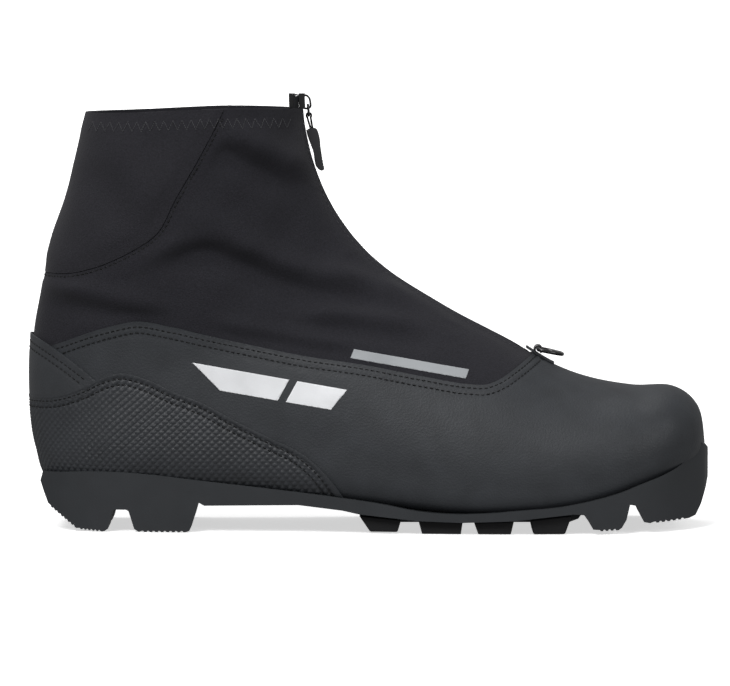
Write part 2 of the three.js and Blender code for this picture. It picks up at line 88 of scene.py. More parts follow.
def station(s):
    """The section's nine numbers at s, by smooth interpolation."""
    s = np.asarray(s, float)
    i = np.clip(np.floor(s).astype(int), 0, LAST - 1)
    f = (s - i)[..., None]
    a, b, c, d = (STATIONS[np.clip(i + k, 0, LAST)] for k in (-1, 0, 1, 2))
    return cubic(f, b, (c - a) / 2, c, (d - b) / 2)


def surface(s, angle):
    """Points of the boot's surface: angle 0 on the front line, positive on the outer side, pi underneath."""
    s, angle = np.broadcast_arrays(np.asarray(s, float), np.asarray(angle, float))
    top_x, top_z, low_x, low_z, outer, inner, wide, front, back = np.moveaxis(station(s), -1, 0)
    c, side = np.cos(angle), np.sin(angle)
    roundness = np.where(c > 0, front, back)
    size = (np.abs(c) ** roundness + np.abs(side) ** roundness) ** (1 / roundness)
    reach, width = np.abs(c) / size, np.abs(side) / size
    t = np.where(c > 0, wide * (1 - reach), wide + (1 - wide) * reach)
    y = np.where(side > 0, -outer * width, inner * width)
    return np.stack([top_x + (low_x - top_x) * t, y, top_z + (low_z - top_z) * t], -1)


def normals(s, angle):
    step = NORMAL_STEP
    s, angle = np.broadcast_arrays(np.asarray(s, float), np.asarray(angle, float))
    along = surface(np.minimum(s + step, LAST), angle) - surface(np.maximum(s - step, 0), angle)
    around = surface(s, angle + step) - surface(s, angle - step)
    n = np.cross(along, around)
    return n / np.maximum(np.linalg.norm(n, axis=-1, keepdims=True), 1e-9)


def skin(s, angle, depth):
    """The surface moved outward by depth."""
    depth = np.broadcast_to(np.asarray(depth, float), np.broadcast_shapes(np.shape(s), np.shape(angle)))
    return surface(s, angle) + normals(s, angle) * depth[..., None]


def locate(x, z):
    """Station and angle of the outer side's point seen at x, z. Points off the surface come back as nan."""
    x, z = np.atleast_1d(x).astype(float), np.atleast_1d(z).astype(float)
    s = np.linspace(0, LAST, LOCATE_STEPS)
    rows = station(s)
    dx, dz = rows[:, 2] - rows[:, 0], rows[:, 3] - rows[:, 1]
    from_x, from_z = x[:, None] - rows[None, :, 0], z[:, None] - rows[None, :, 1]
    cross = dx[None] * from_z - dz[None] * from_x
    share = (from_x * dx + from_z * dz) / (dx * dx + dz * dz)
    hit = (cross[:, :-1] * cross[:, 1:] <= 0) & (share[:, :-1] >= 0) & (share[:, :-1] <= 1)
    first = hit.argmax(1)
    k = np.arange(len(x))
    a, b = cross[k, first], cross[k, first + 1]
    f = np.where(a == b, 0, a / np.where(a == b, 1, a - b))
    at = s[first] + f * (s[1] - s[0])
    t = share[k, first] * (1 - f) + share[k, first + 1] * f
    row = station(at)
    wide, front, back = row[:, 6], row[:, 7], row[:, 8]
    reach = np.clip(np.where(t < wide, 1 - t / wide, (t - wide) / (1 - wide)), 0, 1)
    roundness = np.where(t < wide, front, back)
    width = (1 - reach**roundness) ** (1 / roundness)
    angle = np.arctan2(width, np.where(t < wide, reach, -reach))
    at = np.where(hit.any(1), at, np.nan)
    return at, angle


# ---- lines seen from the side, as X and Z; they run on past the boot at both ends ----
def smooth(points, per=10):
    """A smooth curve through the points, with its slopes set by how far apart they are."""
    p = np.array(points, float)
    gap = np.maximum(np.linalg.norm(np.diff(p, axis=0), axis=1), 1e-9)[:, None]
    rate = np.diff(p, axis=0) / gap
    slope = np.empty_like(p)
    slope[0], slope[-1] = rate[0], rate[-1]
    slope[1:-1] = (rate[:-1] * gap[1:] + rate[1:] * gap[:-1]) / (gap[:-1] + gap[1:])
    f = (np.arange(per) / per)[None, :, None]
    run = gap[:, None]
    curve = cubic(f, p[:-1, None], run * slope[:-1, None], p[1:, None], run * slope[1:, None])
    return np.vstack([curve.reshape(-1, p.shape[1]), p[-1]])


FEATHER = smooth([
    (-170, 25), (-139, 25), (-124, 26), (-109, 26), (-94, 25), (-77, 23), (-46, 19.6), (-15, 16), (6, 13),
    (22, 10), (34, 9), (50, 9.2), (66, 10.5), (83, 12), (99, 15), (109, 17.7), (119, 21.4), (129, 25),
    (136, 28.5), (143.5, 34.5), (146.5, 37.2), (170, 37.5)])
LASTING = smooth([
    (-170, 22), (-94, 22), (-46, 17), (-15, 13), (22, 8), (50, 7.5), (83, 9), (109, 13), (129, 19),
    (170, 24)])
SHELL_TOP = smooth([
    (-170, 75), (-152, 76), (-134, 81.7), (-120.5, 86.7), (-110, 89.7), (-101, 91.5), (-86, 89.3),
    (-70.5, 85.7), (-46, 80.4), (-29, 77), (-1, 72.8), (25, 67.7), (44, 64.5), (51, 64.2), (57, 66.2),
    (64, 70.5), (70, 74.5), (74, 77), (80, 82), (170, 100)])
PATCH_TOP = smooth([
    (-170, 90), (-152, 86.2), (-145, 83.4), (-133.6, 77), (-124, 70.2), (-117.5, 64.9), (-105, 50),
    (170, 40)])
CUP_TOP = smooth([
    (-170, 57.5), (-147, 57.8), (-134, 59), (-124, 62.5), (-115, 67), (-107, 69), (-97.5, 67), (-84, 61),
    (-71, 56), (-58, 49), (-41.5, 41), (-29, 35), (-22.5, 30), (-16, 23), (-11, 15.4), (-7, 7), (0, -4),
    (170, -40)])
BACK_SEAM = smooth([
    (-170, 112), (-148, 112), (-128, 112.4), (-118, 115), (-108.7, 118.8), (-99, 124), (-92.5, 128.5),
    (-83, 145), (-70.6, 166.7), (-62, 184), (-55, 229)])
RIM = smooth([(-170, 181.8), (-100, 182.2), (-62, 183.7), (-30, 183.4), (170, 183.4)])


def over(line, lift=0.0):
    """Positive above the line."""
    return lambda p: p[:, 2] - np.interp(p[:, 0], line[:, 0], line[:, 1]) - lift


def under(line, lift=0.0):
    return lambda p: np.interp(p[:, 0], line[:, 0], line[:, 1]) + lift - p[:, 2]


def shifted(line, dx, dz):
    return line + np.array([dx, dz])


def beyond(y, way):
    """Positive where way * Y is past y."""
    return lambda p: way * p[:, 1] - y


def short_of(y, way):
    return lambda p: y - way * p[:, 1]


def within(y):
    """Positive within y of the middle plane."""
    return lambda p: y - np.abs(p[:, 1])


def behind(x):
    return lambda p: x - p[:, 0]


def ahead_of(x):
    return lambda p: p[:, 0] - x


def near_front(low, high, reach):
    """Positive within reach, in the side view, of the front line between two stations."""
    x, z = station(np.linspace(low, high, 60)).T[:2]
    return lambda p: reach - np.hypot(p[:, 0, None] - x, p[:, 2, None] - z).min(1)


def opening(half_width, where):
    """Cuts a gap of that half width at the middle plane, where the other limit is positive."""
    return lambda p: np.where(where(p) > 0, np.abs(p[:, 1]) - half_width, 1.0)


# ---- meshes ----
def grid(s_values, angles, depth):
    """Points and faces over stations and angles. The depth is a number or a function of the points."""
    s, a = np.meshgrid(s_values, angles, indexing="ij")
    if callable(depth):
        depth = depth(surface(s, a))
    points = skin(s, a, depth).reshape(-1, 3)
    rows, columns = s.shape
    closed = math.isclose(angles[-1] - angles[0], 2 * math.pi * (1 - 1 / len(angles)), rel_tol=1e-6)
    i, j = np.meshgrid(np.arange(rows - 1), np.arange(columns if closed else columns - 1), indexing="ij")
    k = (j + 1) % columns
    quads = np.stack([i * columns + j, (i + 1) * columns + j, (i + 1) * columns + k, i * columns + k], -1)
    if angles[0] > angles[-1]:
        quads = quads[..., ::-1]  # so that the faces still look outward
    return points, [tuple(q) for q in quads.reshape(-1, 4).tolist()]


def clip(points, faces, *limits):
    """Keeps the faces where every limit is positive, cutting those that cross its zero line."""
    for limit in limits:
        value = limit(points)
        fresh, made, kept = [], {}, []
        inside = (value >= 0).tolist()
        for face in faces:
            flags = [inside[v] for v in face]
            if all(flags):
                kept.append(face)
                continue
            if not any(flags):
                continue
            cut = []
            for n, v in enumerate(face):
                w = face[(n + 1) % len(face)]
                if inside[v]:
                    cut.append(v)
                if inside[v] != inside[w]:
                    key = (min(v, w), max(v, w))
                    if key not in made:
                        f = value[key[0]] / (value[key[0]] - value[key[1]])
                        made[key] = len(points) + len(fresh)
                        fresh.append(points[key[0]] * (1 - f) + points[key[1]] * f)
                    cut.append(made[key])
            if len(cut) > 2:
                kept.append(tuple(cut))
        faces = kept
        if fresh:
            points = np.vstack([points, fresh])
    used = sorted({v for face in faces for v in face})
    place = {v: n for n, v in enumerate(used)}
    return points[used], [tuple(place[v] for v in face) for face in faces]


def piece(name, points, faces, look):
    mesh = bpy.data.meshes.new(name)
    mesh.from_pydata((np.asarray(points) * MM).tolist(), [], faces)
    mesh.validate()
    mesh.polygons.foreach_set("use_smooth", [True] * len(mesh.polygons))
    mesh.materials.append(MATERIALS[look])
    made = bpy.data.objects.new(name, mesh)
    bpy.context.scene.collection.objects.link(made)
    return made


def belongs(obj, body, node):
    """Rides a piece on its body and hides the CAD node that it stands for."""
    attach(obj, body)
    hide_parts(node)
    return obj


def thick(obj, thickness, edge):
    """Gives a panel its thickness, inward, with softened cut edges."""
    solid = obj.modifiers.new("thickness", "SOLIDIFY")
    solid.thickness = thickness * MM
    solid.offset = -1
    soften(obj, edge, 55)
    return obj


def soften(obj, width, angle, segments=2):
    if width:
        bevel = obj.modifiers.new("edges", "BEVEL")
        bevel.width = width * MM
        bevel.segments = segments
        bevel.limit_method = "ANGLE"
        bevel.angle_limit = math.radians(angle)
    obj.modifiers.new("shading", "WEIGHTED_NORMAL").keep_sharp = True
    return obj


def between(name, low_ring, high_ring, look):
    """A solid between two matching outlines."""
    n = len(low_ring)
    faces = [tuple(range(n)), tuple(range(2 * n - 1, n - 1, -1))]
    faces += [(i, n + i, n + (i + 1) % n, (i + 1) % n) for i in range(n)]
    return facing_out(piece(name, low_ring + high_ring, faces, look))


def prism(name, outline, low, high, look):
    """A side outline in X and Z carried from low to high in Y."""
    return between(name, *[[(x, y, z) for x, z in outline] for y in (low, high)], look)


def plate(name, outline, low, high, look):
    """A plan outline in X and Y carried from low to high in Z."""
    return between(name, *[[(x, y, z) for x, y in outline] for z in (low, high)], look)


def box(name, low, high, look):
    (x0, y0, z0), (x1, y1, z1) = low, high
    return prism(name, [(x0, z0), (x1, z0), (x1, z1), (x0, z1)], y0, y1, look)


def facing_out(obj):
    bm = bmesh.new()
    bm.from_mesh(obj.data)
    bmesh.ops.recalc_face_normals(bm, faces=bm.faces)
    bm.to_mesh(obj.data)
    bm.free()
    return obj


def settle(obj):
    """Bakes the modifiers into the mesh."""
    evaluated = obj.evaluated_get(bpy.context.evaluated_depsgraph_get())
    mesh = bpy.data.meshes.new_from_object(evaluated)
    obj.modifiers.clear()
    obj.data = mesh
    mesh.polygons.foreach_set("use_smooth", [True] * len(mesh.polygons))
    return obj


def combine(obj, others, operation):
    for other in others:
        modifier = obj.modifiers.new("cut", "BOOLEAN")
        modifier.operation = operation
        modifier.solver = "EXACT"
        modifier.object = other
    settle(obj)
    for other in others:
        bpy.data.objects.remove(other)
    return obj


def tube(name, path, radius, look, closed=False, sides=8):
    """A tube of the given radius along a 3-D path."""
    path = np.asarray(path, float)
    ahead = np.roll(path, -1, 0) - np.roll(path, 1, 0)
    if not closed:
        ahead[0], ahead[-1] = path[1] - path[0], path[-1] - path[-2]
    ahead /= np.linalg.norm(ahead, axis=1, keepdims=True)
    side = np.zeros_like(path)
    hint = np.array([0.0, 1.0, 0.0]) if abs(ahead[0][1]) < 0.8 else np.array([0.0, 0.0, 1.0])
    for n, d in enumerate(ahead):
        hint = hint - d * (hint @ d)
        hint /= np.linalg.norm(hint)
        side[n] = hint
    up = np.cross(ahead, side)
    turn = 2 * math.pi * np.arange(sides) / sides
    ring = side[:, None] * np.cos(turn)[None, :, None] + up[:, None] * np.sin(turn)[None, :, None]
    points = (path[:, None] + radius * ring).reshape(-1, 3)
    count = len(path)
    faces = []
    for i in range(count if closed else count - 1):
        k = (i + 1) % count
        faces += [(i * sides + j, i * sides + (j + 1) % sides, k * sides + (j + 1) % sides, k * sides + j)
                  for j in range(sides)]
    if not closed:
        faces += [tuple(range(sides - 1, -1, -1)), tuple((count - 1) * sides + j for j in range(sides))]
    return facing_out(piece(name, points, faces, look))


BRIDGE_WIDTH, STOP_WIDTH = 3.6, 3.4  # how many times wider than thick the two flat bars are


def widen(obj, times):
    """Stretches a piece across the boot's middle plane."""
    for vertex in obj.data.vertices:
        vertex.co.y *= times
    return obj


def join(name, objects, look):
    """Joins pieces into one mesh."""
    points, faces, offset = [], [], 0
    for obj in objects:
        evaluated = obj.evaluated_get(bpy.context.evaluated_depsgraph_get()).to_mesh()
        points += [tuple(v.co / MM) for v in evaluated.vertices]
        faces += [tuple(v + offset for v in p.vertices) for p in evaluated.polygons]
        offset = len(points)
    for obj in objects:
        bpy.data.objects.remove(obj)
    return piece(name, points, faces, look)


# ---- curves on the surface, and stitches along them ----
THREAD_PROUD = 0.06
TRACE_STEP = 0.2


def on_surface(outline, side, depth):
    """Points and normals of a side outline laid on the outer (side 1) or inner (side -1) half."""
    fine = resample(np.asarray(outline, float), TRACE_STEP)
    s, angle = locate(fine[:, 0], fine[:, 1])
    good = ~np.isnan(s)
    return lifted(s[good], angle[good] * side, depth)


def lifted(s, angle, depth):
    """Points and normals at a depth, which is a number or a function, and a little proud of it."""
    if callable(depth):
        depth = depth(surface(s, angle)) + THREAD_PROUD
    return skin(s, angle, depth), normals(s, angle)


def resample(path, spacing):
    steps = np.linalg.norm(np.diff(path, axis=0), axis=1)
    length = np.concatenate([[0], np.cumsum(steps)])
    places = np.arange(0, length[-1], spacing)
    return np.stack([np.interp(places, length, path[:, k]) for k in range(path.shape[1])], 1)


def beside(line, distance):
    """A line moved sideways by distance; positive is below a line that runs to +X."""
    ahead = np.gradient(line, axis=0)
    ahead /= np.maximum(np.linalg.norm(ahead, axis=1, keepdims=True), 1e-9)
    return line + distance * np.stack([ahead[:, 1], -ahead[:, 0]], 1)


def part_of(line, low, high):
    return line[(line[:, 0] >= low) & (line[:, 0] <= high)]


BEAD_RINGS, BEAD_SIDES = 6, 8
BEAD_TAPER = 0.7  # below 1 the ends are blunter than an ellipsoid


def stitches(name, rows, look, pitch, length, width, height):
    """One mesh of thread beads. Each row is (points, normals) on the surface."""
    lat = np.linspace(0, math.pi, BEAD_RINGS)
    lon = 2 * math.pi * np.arange(BEAD_SIDES) / BEAD_SIDES
    unit = np.array([(math.cos(a), math.sin(a) ** BEAD_TAPER * math.cos(b),
                      math.sin(a) ** BEAD_TAPER * math.sin(b)) for a in lat for b in lon])
    unit = unit * np.array([length, width, height]) / 2
    mesh_faces = [(i * BEAD_SIDES + j, i * BEAD_SIDES + (j + 1) % BEAD_SIDES,
                   (i + 1) * BEAD_SIDES + (j + 1) % BEAD_SIDES, (i + 1) * BEAD_SIDES + j)
                  for i in range(BEAD_RINGS - 1) for j in range(BEAD_SIDES)]
    points, faces = [], []
    for path, up in rows:
        both = resample(np.hstack([path, up]), pitch / 2)
        centres = both[1:-1:2]
        ahead = both[2::2][: len(centres), :3] - both[0:-1:2][: len(centres), :3]
        for n in range(min(len(centres), len(ahead))):
            x_axis = ahead[n] / max(np.linalg.norm(ahead[n]), 1e-9)
            z_axis = centres[n, 3:] / max(np.linalg.norm(centres[n, 3:]), 1e-9)
            y_axis = np.cross(z_axis, x_axis)
            offset = len(points) * len(unit)
            points.append(centres[n, :3] + unit @ np.stack([x_axis, y_axis, z_axis]))
            faces += [tuple(v + offset for v in face) for face in mesh_faces]
    return facing_out(piece(name, np.vstack(points), faces, look))


# ---- materials ----
def put(node, **values):
    """Sets a node's inputs by name, with _ for a space."""
    for name, value in values.items():
        node.inputs[name.replace("_", " ")].default_value = value


class Pattern:
    """The nodes that break up a material's surface, colour and gloss, laid out in the piece's own space."""

    def __init__(self, made, colour):
        self.nodes, self.links = made.node_tree.nodes, made.node_tree.links
        self.shader, self.colour = self.nodes["Principled BSDF"], colour
        self.place = self.nodes.new("ShaderNodeTexCoord").outputs["Object"]

    def texture(self, kind, output, **values):
        """A texture node's output. values are inputs by name."""
        made = self.nodes.new(kind)
        put(made, **values)
        self.links.new(self.place, made.inputs["Vector"])
        return made.outputs[output]

    def noise(self, scale, detail=3.0):
        return self.texture("ShaderNodeTexNoise", "Fac", Scale=scale, Detail=detail)

    def cells(self, scale):
        return self.texture("ShaderNodeTexVoronoi", "Distance", Scale=scale)

    def waves(self, direction, scale, distortion):
        made = self.texture("ShaderNodeTexWave", "Fac", Scale=scale, Distortion=distortion)
        made.node.bands_direction = direction
        return made

    def bump(self, height, strength, distance):
        made = self.nodes.new("ShaderNodeBump")
        put(made, Strength=strength, Distance=distance)
        self.links.new(height, made.inputs["Height"])
        last = self.shader.inputs["Normal"]
        if last.is_linked:
            self.links.new(last.links[0].from_socket, made.inputs["Normal"])
        self.links.new(made.outputs["Normal"], last)

    def tint(self, factor, low, high):
        """Varies the colour between low and high times itself."""
        ramp = self.nodes.new("ShaderNodeValToRGB")
        for element, place, times in zip(ramp.color_ramp.elements, (0.3, 0.7), (low, high)):
            element.position = place
            element.color = (*[c * times for c in self.colour], 1)
        self.links.new(factor, ramp.inputs["Fac"])
        self.links.new(ramp.outputs["Color"], self.shader.inputs["Base Color"])

    def rough(self, factor, low, high):
        span = self.nodes.new("ShaderNodeMapRange")
        put(span, To_Min=low, To_Max=high)
        self.links.new(factor, span.inputs["Value"])
        self.links.new(span.outputs["Result"], self.shader.inputs["Roughness"])


def material(name, colour, roughness, build=None, metallic=0.0, sheen=0.0, coat=0.0, specular=0.5):
    """A Principled material. build adds the pattern's nodes."""
    made = bpy.data.materials.new(name)
    made.use_nodes = True
    put(made.node_tree.nodes["Principled BSDF"], Base_Color=(*colour, 1), Roughness=roughness,
        Metallic=metallic, Specular_IOR_Level=specular, Sheen_Weight=sheen, Coat_Weight=coat)
    if build:
        build(Pattern(made, colour))
    return made


# In the patterns below, scales are per metre, bumps have a strength and a distance in metres,
# tints a lowest and a highest share of the colour, and rough a lowest and a highest roughness.
def leather(pattern):
    pattern.bump(pattern.cells(1100), 0.35, 0.0002)
    pattern.bump(pattern.noise(2600), 0.2, 0.0001)
    pattern.tint(pattern.noise(90, 6), 0.86, 1.12)
    pattern.rough(pattern.noise(160), 0.46, 0.6)


def fabric(pattern):
    pattern.bump(pattern.cells(1700), 0.5, 0.00025)
    pattern.bump(pattern.noise(260, 4), 0.12, 0.0006)
    pattern.tint(pattern.noise(1500, 4), 0.75, 1.25)


def woven(pattern):
    for direction in ("X", "Z"):
        pattern.bump(pattern.waves(direction, 700, 1.5), 0.4, 0.0002)
    pattern.tint(pattern.noise(1200), 0.8, 1.2)


def moulded(pattern):
    pattern.bump(pattern.noise(1500, 2), 0.22, 0.00015)
    pattern.tint(pattern.noise(60, 5), 0.9, 1.08)
    pattern.rough(pattern.noise(120), 0.5, 0.66)


def metal(pattern):
    pattern.rough(pattern.noise(700), 0.16, 0.34)
    pattern.bump(pattern.noise(900), 0.05, 0.0001)


CHARCOAL = (0.0255, 0.0282, 0.0325)
SOFT_BLACK = (0.0165, 0.0162, 0.0205)
MATERIALS = {
    "leather": material("shell leather", CHARCOAL, 0.52, leather, specular=0.4),
    "patch": material("heel patch leather", (0.0295, 0.032, 0.0362), 0.48, leather, specular=0.42),
    "cup": material("textured heel leather", (0.025, 0.0275, 0.032), 0.45, leather, specular=0.5),
    "softshell": material("softshell", SOFT_BLACK, 0.85, fabric, sheen=0.05, specular=0.2),
    "back": material("back softshell", (0.0195, 0.019, 0.0235), 0.85, fabric, sheen=0.05, specular=0.2),
    "lining": material("lining", (0.03, 0.031, 0.036), 0.95, woven, sheen=0.2, specular=0.2),
    "tape": material("zip tape", (0.008, 0.008, 0.01), 0.8, woven, specular=0.3),
    "coil": material("zip coil", (0.012, 0.012, 0.013), 0.38, moulded),
    "thread": material("thread", (0.0045, 0.0045, 0.005), 0.6, woven, specular=0.35),
    "gaiter thread": material("gaiter thread", (0.045, 0.045, 0.05), 0.6, woven, specular=0.35),
    "sole": material("sole charcoal", (0.0235, 0.026, 0.0295), 0.58, moulded, specular=0.4),
    # the grip pads' colour is partly their rubber's own and partly painted shade of their recess, darker
    # than the sole
    "rubber": material("grip rubber", (0.006, 0.006, 0.007), 0.7, moulded, specular=0.3),
    "metal": material("black metal", (0.012, 0.012, 0.013), 0.25, metal, metallic=0.4, coat=0.6),
    "tab": material("moulded pull", (0.014, 0.014, 0.016), 0.55, moulded),
    "cord": material("pull cord", (0.01, 0.01, 0.011), 0.8, woven),
    "steel": material("steel", (0.5, 0.51, 0.53), 0.3, metal, metallic=1.0),
    "foam": material("footbed felt", (0.06, 0.063, 0.07), 0.95, fabric, sheen=0.3),
    "board": material("pressed board", (0.3, 0.26, 0.2), 0.9, fabric),
    "stiffener": material("stiffener", (0.22, 0.22, 0.21), 0.6, moulded),
    "print": material("light print", (0.8, 0.81, 0.83), 0.5, moulded),
    "reflective": material("reflective print", (0.33, 0.345, 0.36), 0.4, moulded),
}

# ---- soft folds of the gaiter ----
# each fold: the line where the cloth turns under, seen from the side, with its height and half width
OUTER_FOLDS = [
    ([(-66, 171), (-54, 165.5), (-42, 159), (-26, 150)], 1.15, 5.5),
    ([(-100, 114), (-86, 120.5), (-71, 124), (-56, 120.5), (-40, 113), (-24, 107.5), (-8, 105.5), (14, 98),
      (32, 91)], 1.25, 5),
    ([(-34, 92.5), (-18, 92), (-1, 90.5), (14, 88), (31, 84)], 0.9, 4),
    ([(-142, 104), (-128, 101.5), (-112, 98.5), (-96, 95), (-82, 92.5)], 0.8, 4.5),
    ([(-83, 133), (-68, 131.5), (-53, 126)], 0.5, 5),
    ([(-72, 90), (-50, 86), (-26, 82), (0, 78.5)], 0.55, 3),
    ([(-120, 165), (-108, 150), (-98, 133)], 0.35, 8),
    ([(-10, 122), (-2, 116), (12, 110)], 0.4, 4),
]
INNER_FOLDS = [
    ([(-68, 168), (-48, 160), (-28, 149)], 1.0, 6),
    ([(-104, 112), (-84, 120), (-60, 118), (-34, 108), (-4, 103), (24, 93)], 1.2, 5.5),
    ([(-36, 93), (0, 90), (30, 83)], 0.8, 4),
    ([(-140, 102), (-112, 99), (-88, 93)], 0.8, 5),
    ([(-70, 89.5), (-40, 84.5), (-8, 79.5)], 0.5, 3),
]
BROAD_RIPPLE, FINE_RIPPLE = 0.22, 0.12
FOLD_SIDE = 10  # a side's folds fade out over this distance from the middle plane
FOLD_LINES = {1: [(smooth(p, 6), h, w) for p, h, w in OUTER_FOLDS],
              -1: [(smooth(p, 6), h, w) for p, h, w in INNER_FOLDS]}


def gap_to(points, line):
    """Distance in the side view to a line that runs to +X, positive above it, and the share along it."""
    best = np.full(points.shape[:-1], 1e9)
    share = np.zeros(points.shape[:-1])
    signed = np.zeros(points.shape[:-1])
    for n in range(len(line) - 1):
        a, d = line[n], line[n + 1] - line[n]
        px, pz = points[..., 0] - a[0], points[..., 2] - a[1]
        t = np.clip((px * d[0] + pz * d[1]) / (d @ d), 0, 1)
        gap = np.hypot(px - t * d[0], pz - t * d[1])
        nearer = gap < best
        best = np.where(nearer, gap, best)
        signed = np.where(nearer, np.where(d[0] * pz - d[1] * px >= 0, gap, -gap), signed)
        share = np.where(nearer, (n + t) / (len(line) - 1), share)
    return signed, share


def folds(points):
    """How far the slack cloth stands out: a ridge above each fold line and a hollow below it."""
    total = np.zeros(points.shape[:-1])
    for side, lines in FOLD_LINES.items():
        near = np.clip(-side * points[..., 1] / FOLD_SIDE, 0, 1)
        for line, height, width in lines:
            gap, share = gap_to(points, line)
            fade = np.clip(np.minimum(share, 1 - share) * 4 + 0.05, 0, 1)
            total += near * height * fade * (gap / width) * np.exp(0.5 - 0.5 * (gap / width) ** 2)
    x, y, z = points[..., 0], points[..., 1], points[..., 2]
    broad = BROAD_RIPPLE * np.sin(x / 9 + z / 17) * np.sin(z / 11 - y / 13)
    return total + (broad + FINE_RIPPLE * np.sin(x / 5 - z / 6 + y / 7))


def edge_fade(points, lines, reach=7):
    """0 on the lines and 1 well away from them."""
    fade = np.ones(points.shape[:-1])
    for line in lines:
        gap, _ = gap_to(points, line[::4])
        fade = np.minimum(fade, np.clip(np.abs(gap) / reach, 0, 1))
    return fade


def stitch_dip(points, line, distances, depth=0.28, width=0.75):
    """Shallow furrows under rows of stitches at those distances from a line."""
    gap, _ = gap_to(points, line[::3])
    return -sum(depth * np.exp(-(((-gap - d) / width) ** 2)) for d in distances)


STITCH_ROWS = (2.2, 4.8)  # distances of the double rows from a cut edge


# ---- panels ----
SIDES = (("outer", -1), ("inner", 1))  # and the way each lies from the middle plane


def around(count):
    return 2 * math.pi * np.arange(count) / count


def half_turns(low, high, count):
    """Angles between two shares of a half turn."""
    return np.linspace(low * math.pi, high * math.pi, count)


def stations(low, high, per):
    return np.linspace(low, high, int(round((high - low) * per)) + 1)


def panel(name, sheet, limits, look, thickness, edge, node):
    """A grid cut to its outline, given its thickness, and fixed to the boot."""
    made = thick(piece(name, *clip(*sheet, *limits), look), thickness, edge)
    return belongs(made, "boot", node)


ZIP_GAP = 5.3  # from the middle plane to the gaiter's edge
FRONT_X, ZIP_X = -70, -60  # ahead of these the cloth is held by the zip, and cut open for it
CLOTH_FACE, FOLD_SCALE = 0.35, 2.3
ZIP_HELD, ZIP_SLACK = 5, 9  # from the middle plane to where the cloth is free to fold, and over what width
SHELL_HELD = 5  # the folds grow over this distance from the shell's edge
PUCKER, SEAM_SINK, SEAM_WIDTH = 0.12, 0.25, 1.6  # beside the back seam
HEM_HEIGHT, HEM_WIDTH = 0.75, 2.3  # the turned edge along the zip
HOLLOW_FROM, HOLLOW_MORE = -0.8, 1.1  # where a hollow starts to flatten out, and how much deeper it gets
CLOTH_THICK, CLOTH_EDGE = 1.1, 0.35
GAITER_TUCK = 6  # how far the gaiter reaches down behind the shell
BACK_LAP = 0.25  # the back panel lies this much over the gaiter
LINING_FACE, LINING_GAP = -2.5, 1.3  # the lining's usual face, and the least room behind the cloth's face


def cloth_depth(points):
    """The gaiter's and back panel's outer face: slack in the middle, held down along seams, rim and zip."""
    x, from_middle = points[..., 0], np.abs(points[..., 1])
    seam, rim = part_of(BACK_SEAM, -150, -50), part_of(RIM, -150, 0)
    slack = edge_fade(points, [seam, rim])
    slack *= np.where(x > FRONT_X, np.clip((from_middle - ZIP_HELD) / ZIP_SLACK, 0, 1) ** 0.8, 1)
    held = 0.3 + 0.7 * edge_fade(points, [part_of(SHELL_TOP, -150, 80)], SHELL_HELD)
    pucker = PUCKER * np.cos(x * 2.4 + points[..., 2] * 1.2)
    beside_seam = np.exp(-((gap_to(points, seam[::3])[0] + SEAM_WIDTH) / SEAM_WIDTH) ** 2)
    hem = np.where(x > FRONT_X, HEM_HEIGHT * np.exp(-((from_middle - ZIP_GAP) / HEM_WIDTH) ** 2), 0)
    loose = (CLOTH_FACE + FOLD_SCALE * folds(points) * held) * slack
    depth = loose + (pucker - SEAM_SINK) * beside_seam + hem
    # a hollow flattens out before it reaches the layers inside
    flattened = HOLLOW_FROM - HOLLOW_MORE * np.tanh((HOLLOW_FROM - depth) / HOLLOW_MORE)
    return np.where(depth < HOLLOW_FROM, flattened, depth)


def lining_depth(points):
    """The lining's outer face, which gives way behind the cloth's hollows."""
    return np.minimum(LINING_FACE, cloth_depth(points) - LINING_GAP)


def gaiter_panels():
    cloth = grid(stations(4.8, LAST, 17), around(236), cloth_depth)
    common = [under(RIM), over(SHELL_TOP, -GAITER_TUCK), under(shifted(BACK_SEAM, 0.2, -0.2))]
    made = []
    for name, way in SIDES:
        # a hair off the middle plane behind the zip, so that the halves share no face
        front = lambda p, way=way: way * p[:, 1] - np.where(p[:, 0] > ZIP_X, ZIP_GAP, 0.001)
        made.append(panel(f"gaiter_{name}_panel", cloth, [*common, front], "softshell", CLOTH_THICK,
                          CLOTH_EDGE, f"gaiter_{name}"))
    return made


def back_panel():
    cloth = grid(stations(12.5, LAST, 18), half_turns(0.25, 1.75, 200),
                 lambda p: cloth_depth(p) + BACK_LAP)
    return panel("cuff_back_panel_cloth", cloth, [under(RIM), over(BACK_SEAM)], "back", CLOTH_THICK,
                 CLOTH_EDGE, "cuff_back_panel")


SHELL_FACE, PATCH_FACE, CUP_FACE = 1.4, 2.5, 2.75  # outer faces of the leather layers over the surface
SHELL_THICK, PATCH_THICK, CUP_THICK = 1.15, 0.9, 1.0
SHELL_WAVE = 0.12
PUFF_HEIGHT, PUFF_AT, PUFF_WIDTH = 0.25, 3.5, 1.2  # the leather swells between its two rows of stitches


def shell():
    top = part_of(SHELL_TOP, -150, 80)

    def depth(p):
        wave = SHELL_WAVE * np.sin(p[..., 0] / 14) * np.sin(p[..., 2] / 9 + p[..., 1] / 15)
        puff = PUFF_HEIGHT * np.exp(-((-gap_to(p, top[::4])[0] - PUFF_AT) / PUFF_WIDTH) ** 2)
        return SHELL_FACE + wave + puff + stitch_dip(p, top, STITCH_ROWS)
    rows = np.concatenate([stations(0, 2, 30), stations(2, 13.4, 20)[1:]])
    panel("leather_shell", grid(rows, around(300), depth), [under(SHELL_TOP), over(LASTING)], "leather",
          SHELL_THICK, 0.35, "vamp_shell")


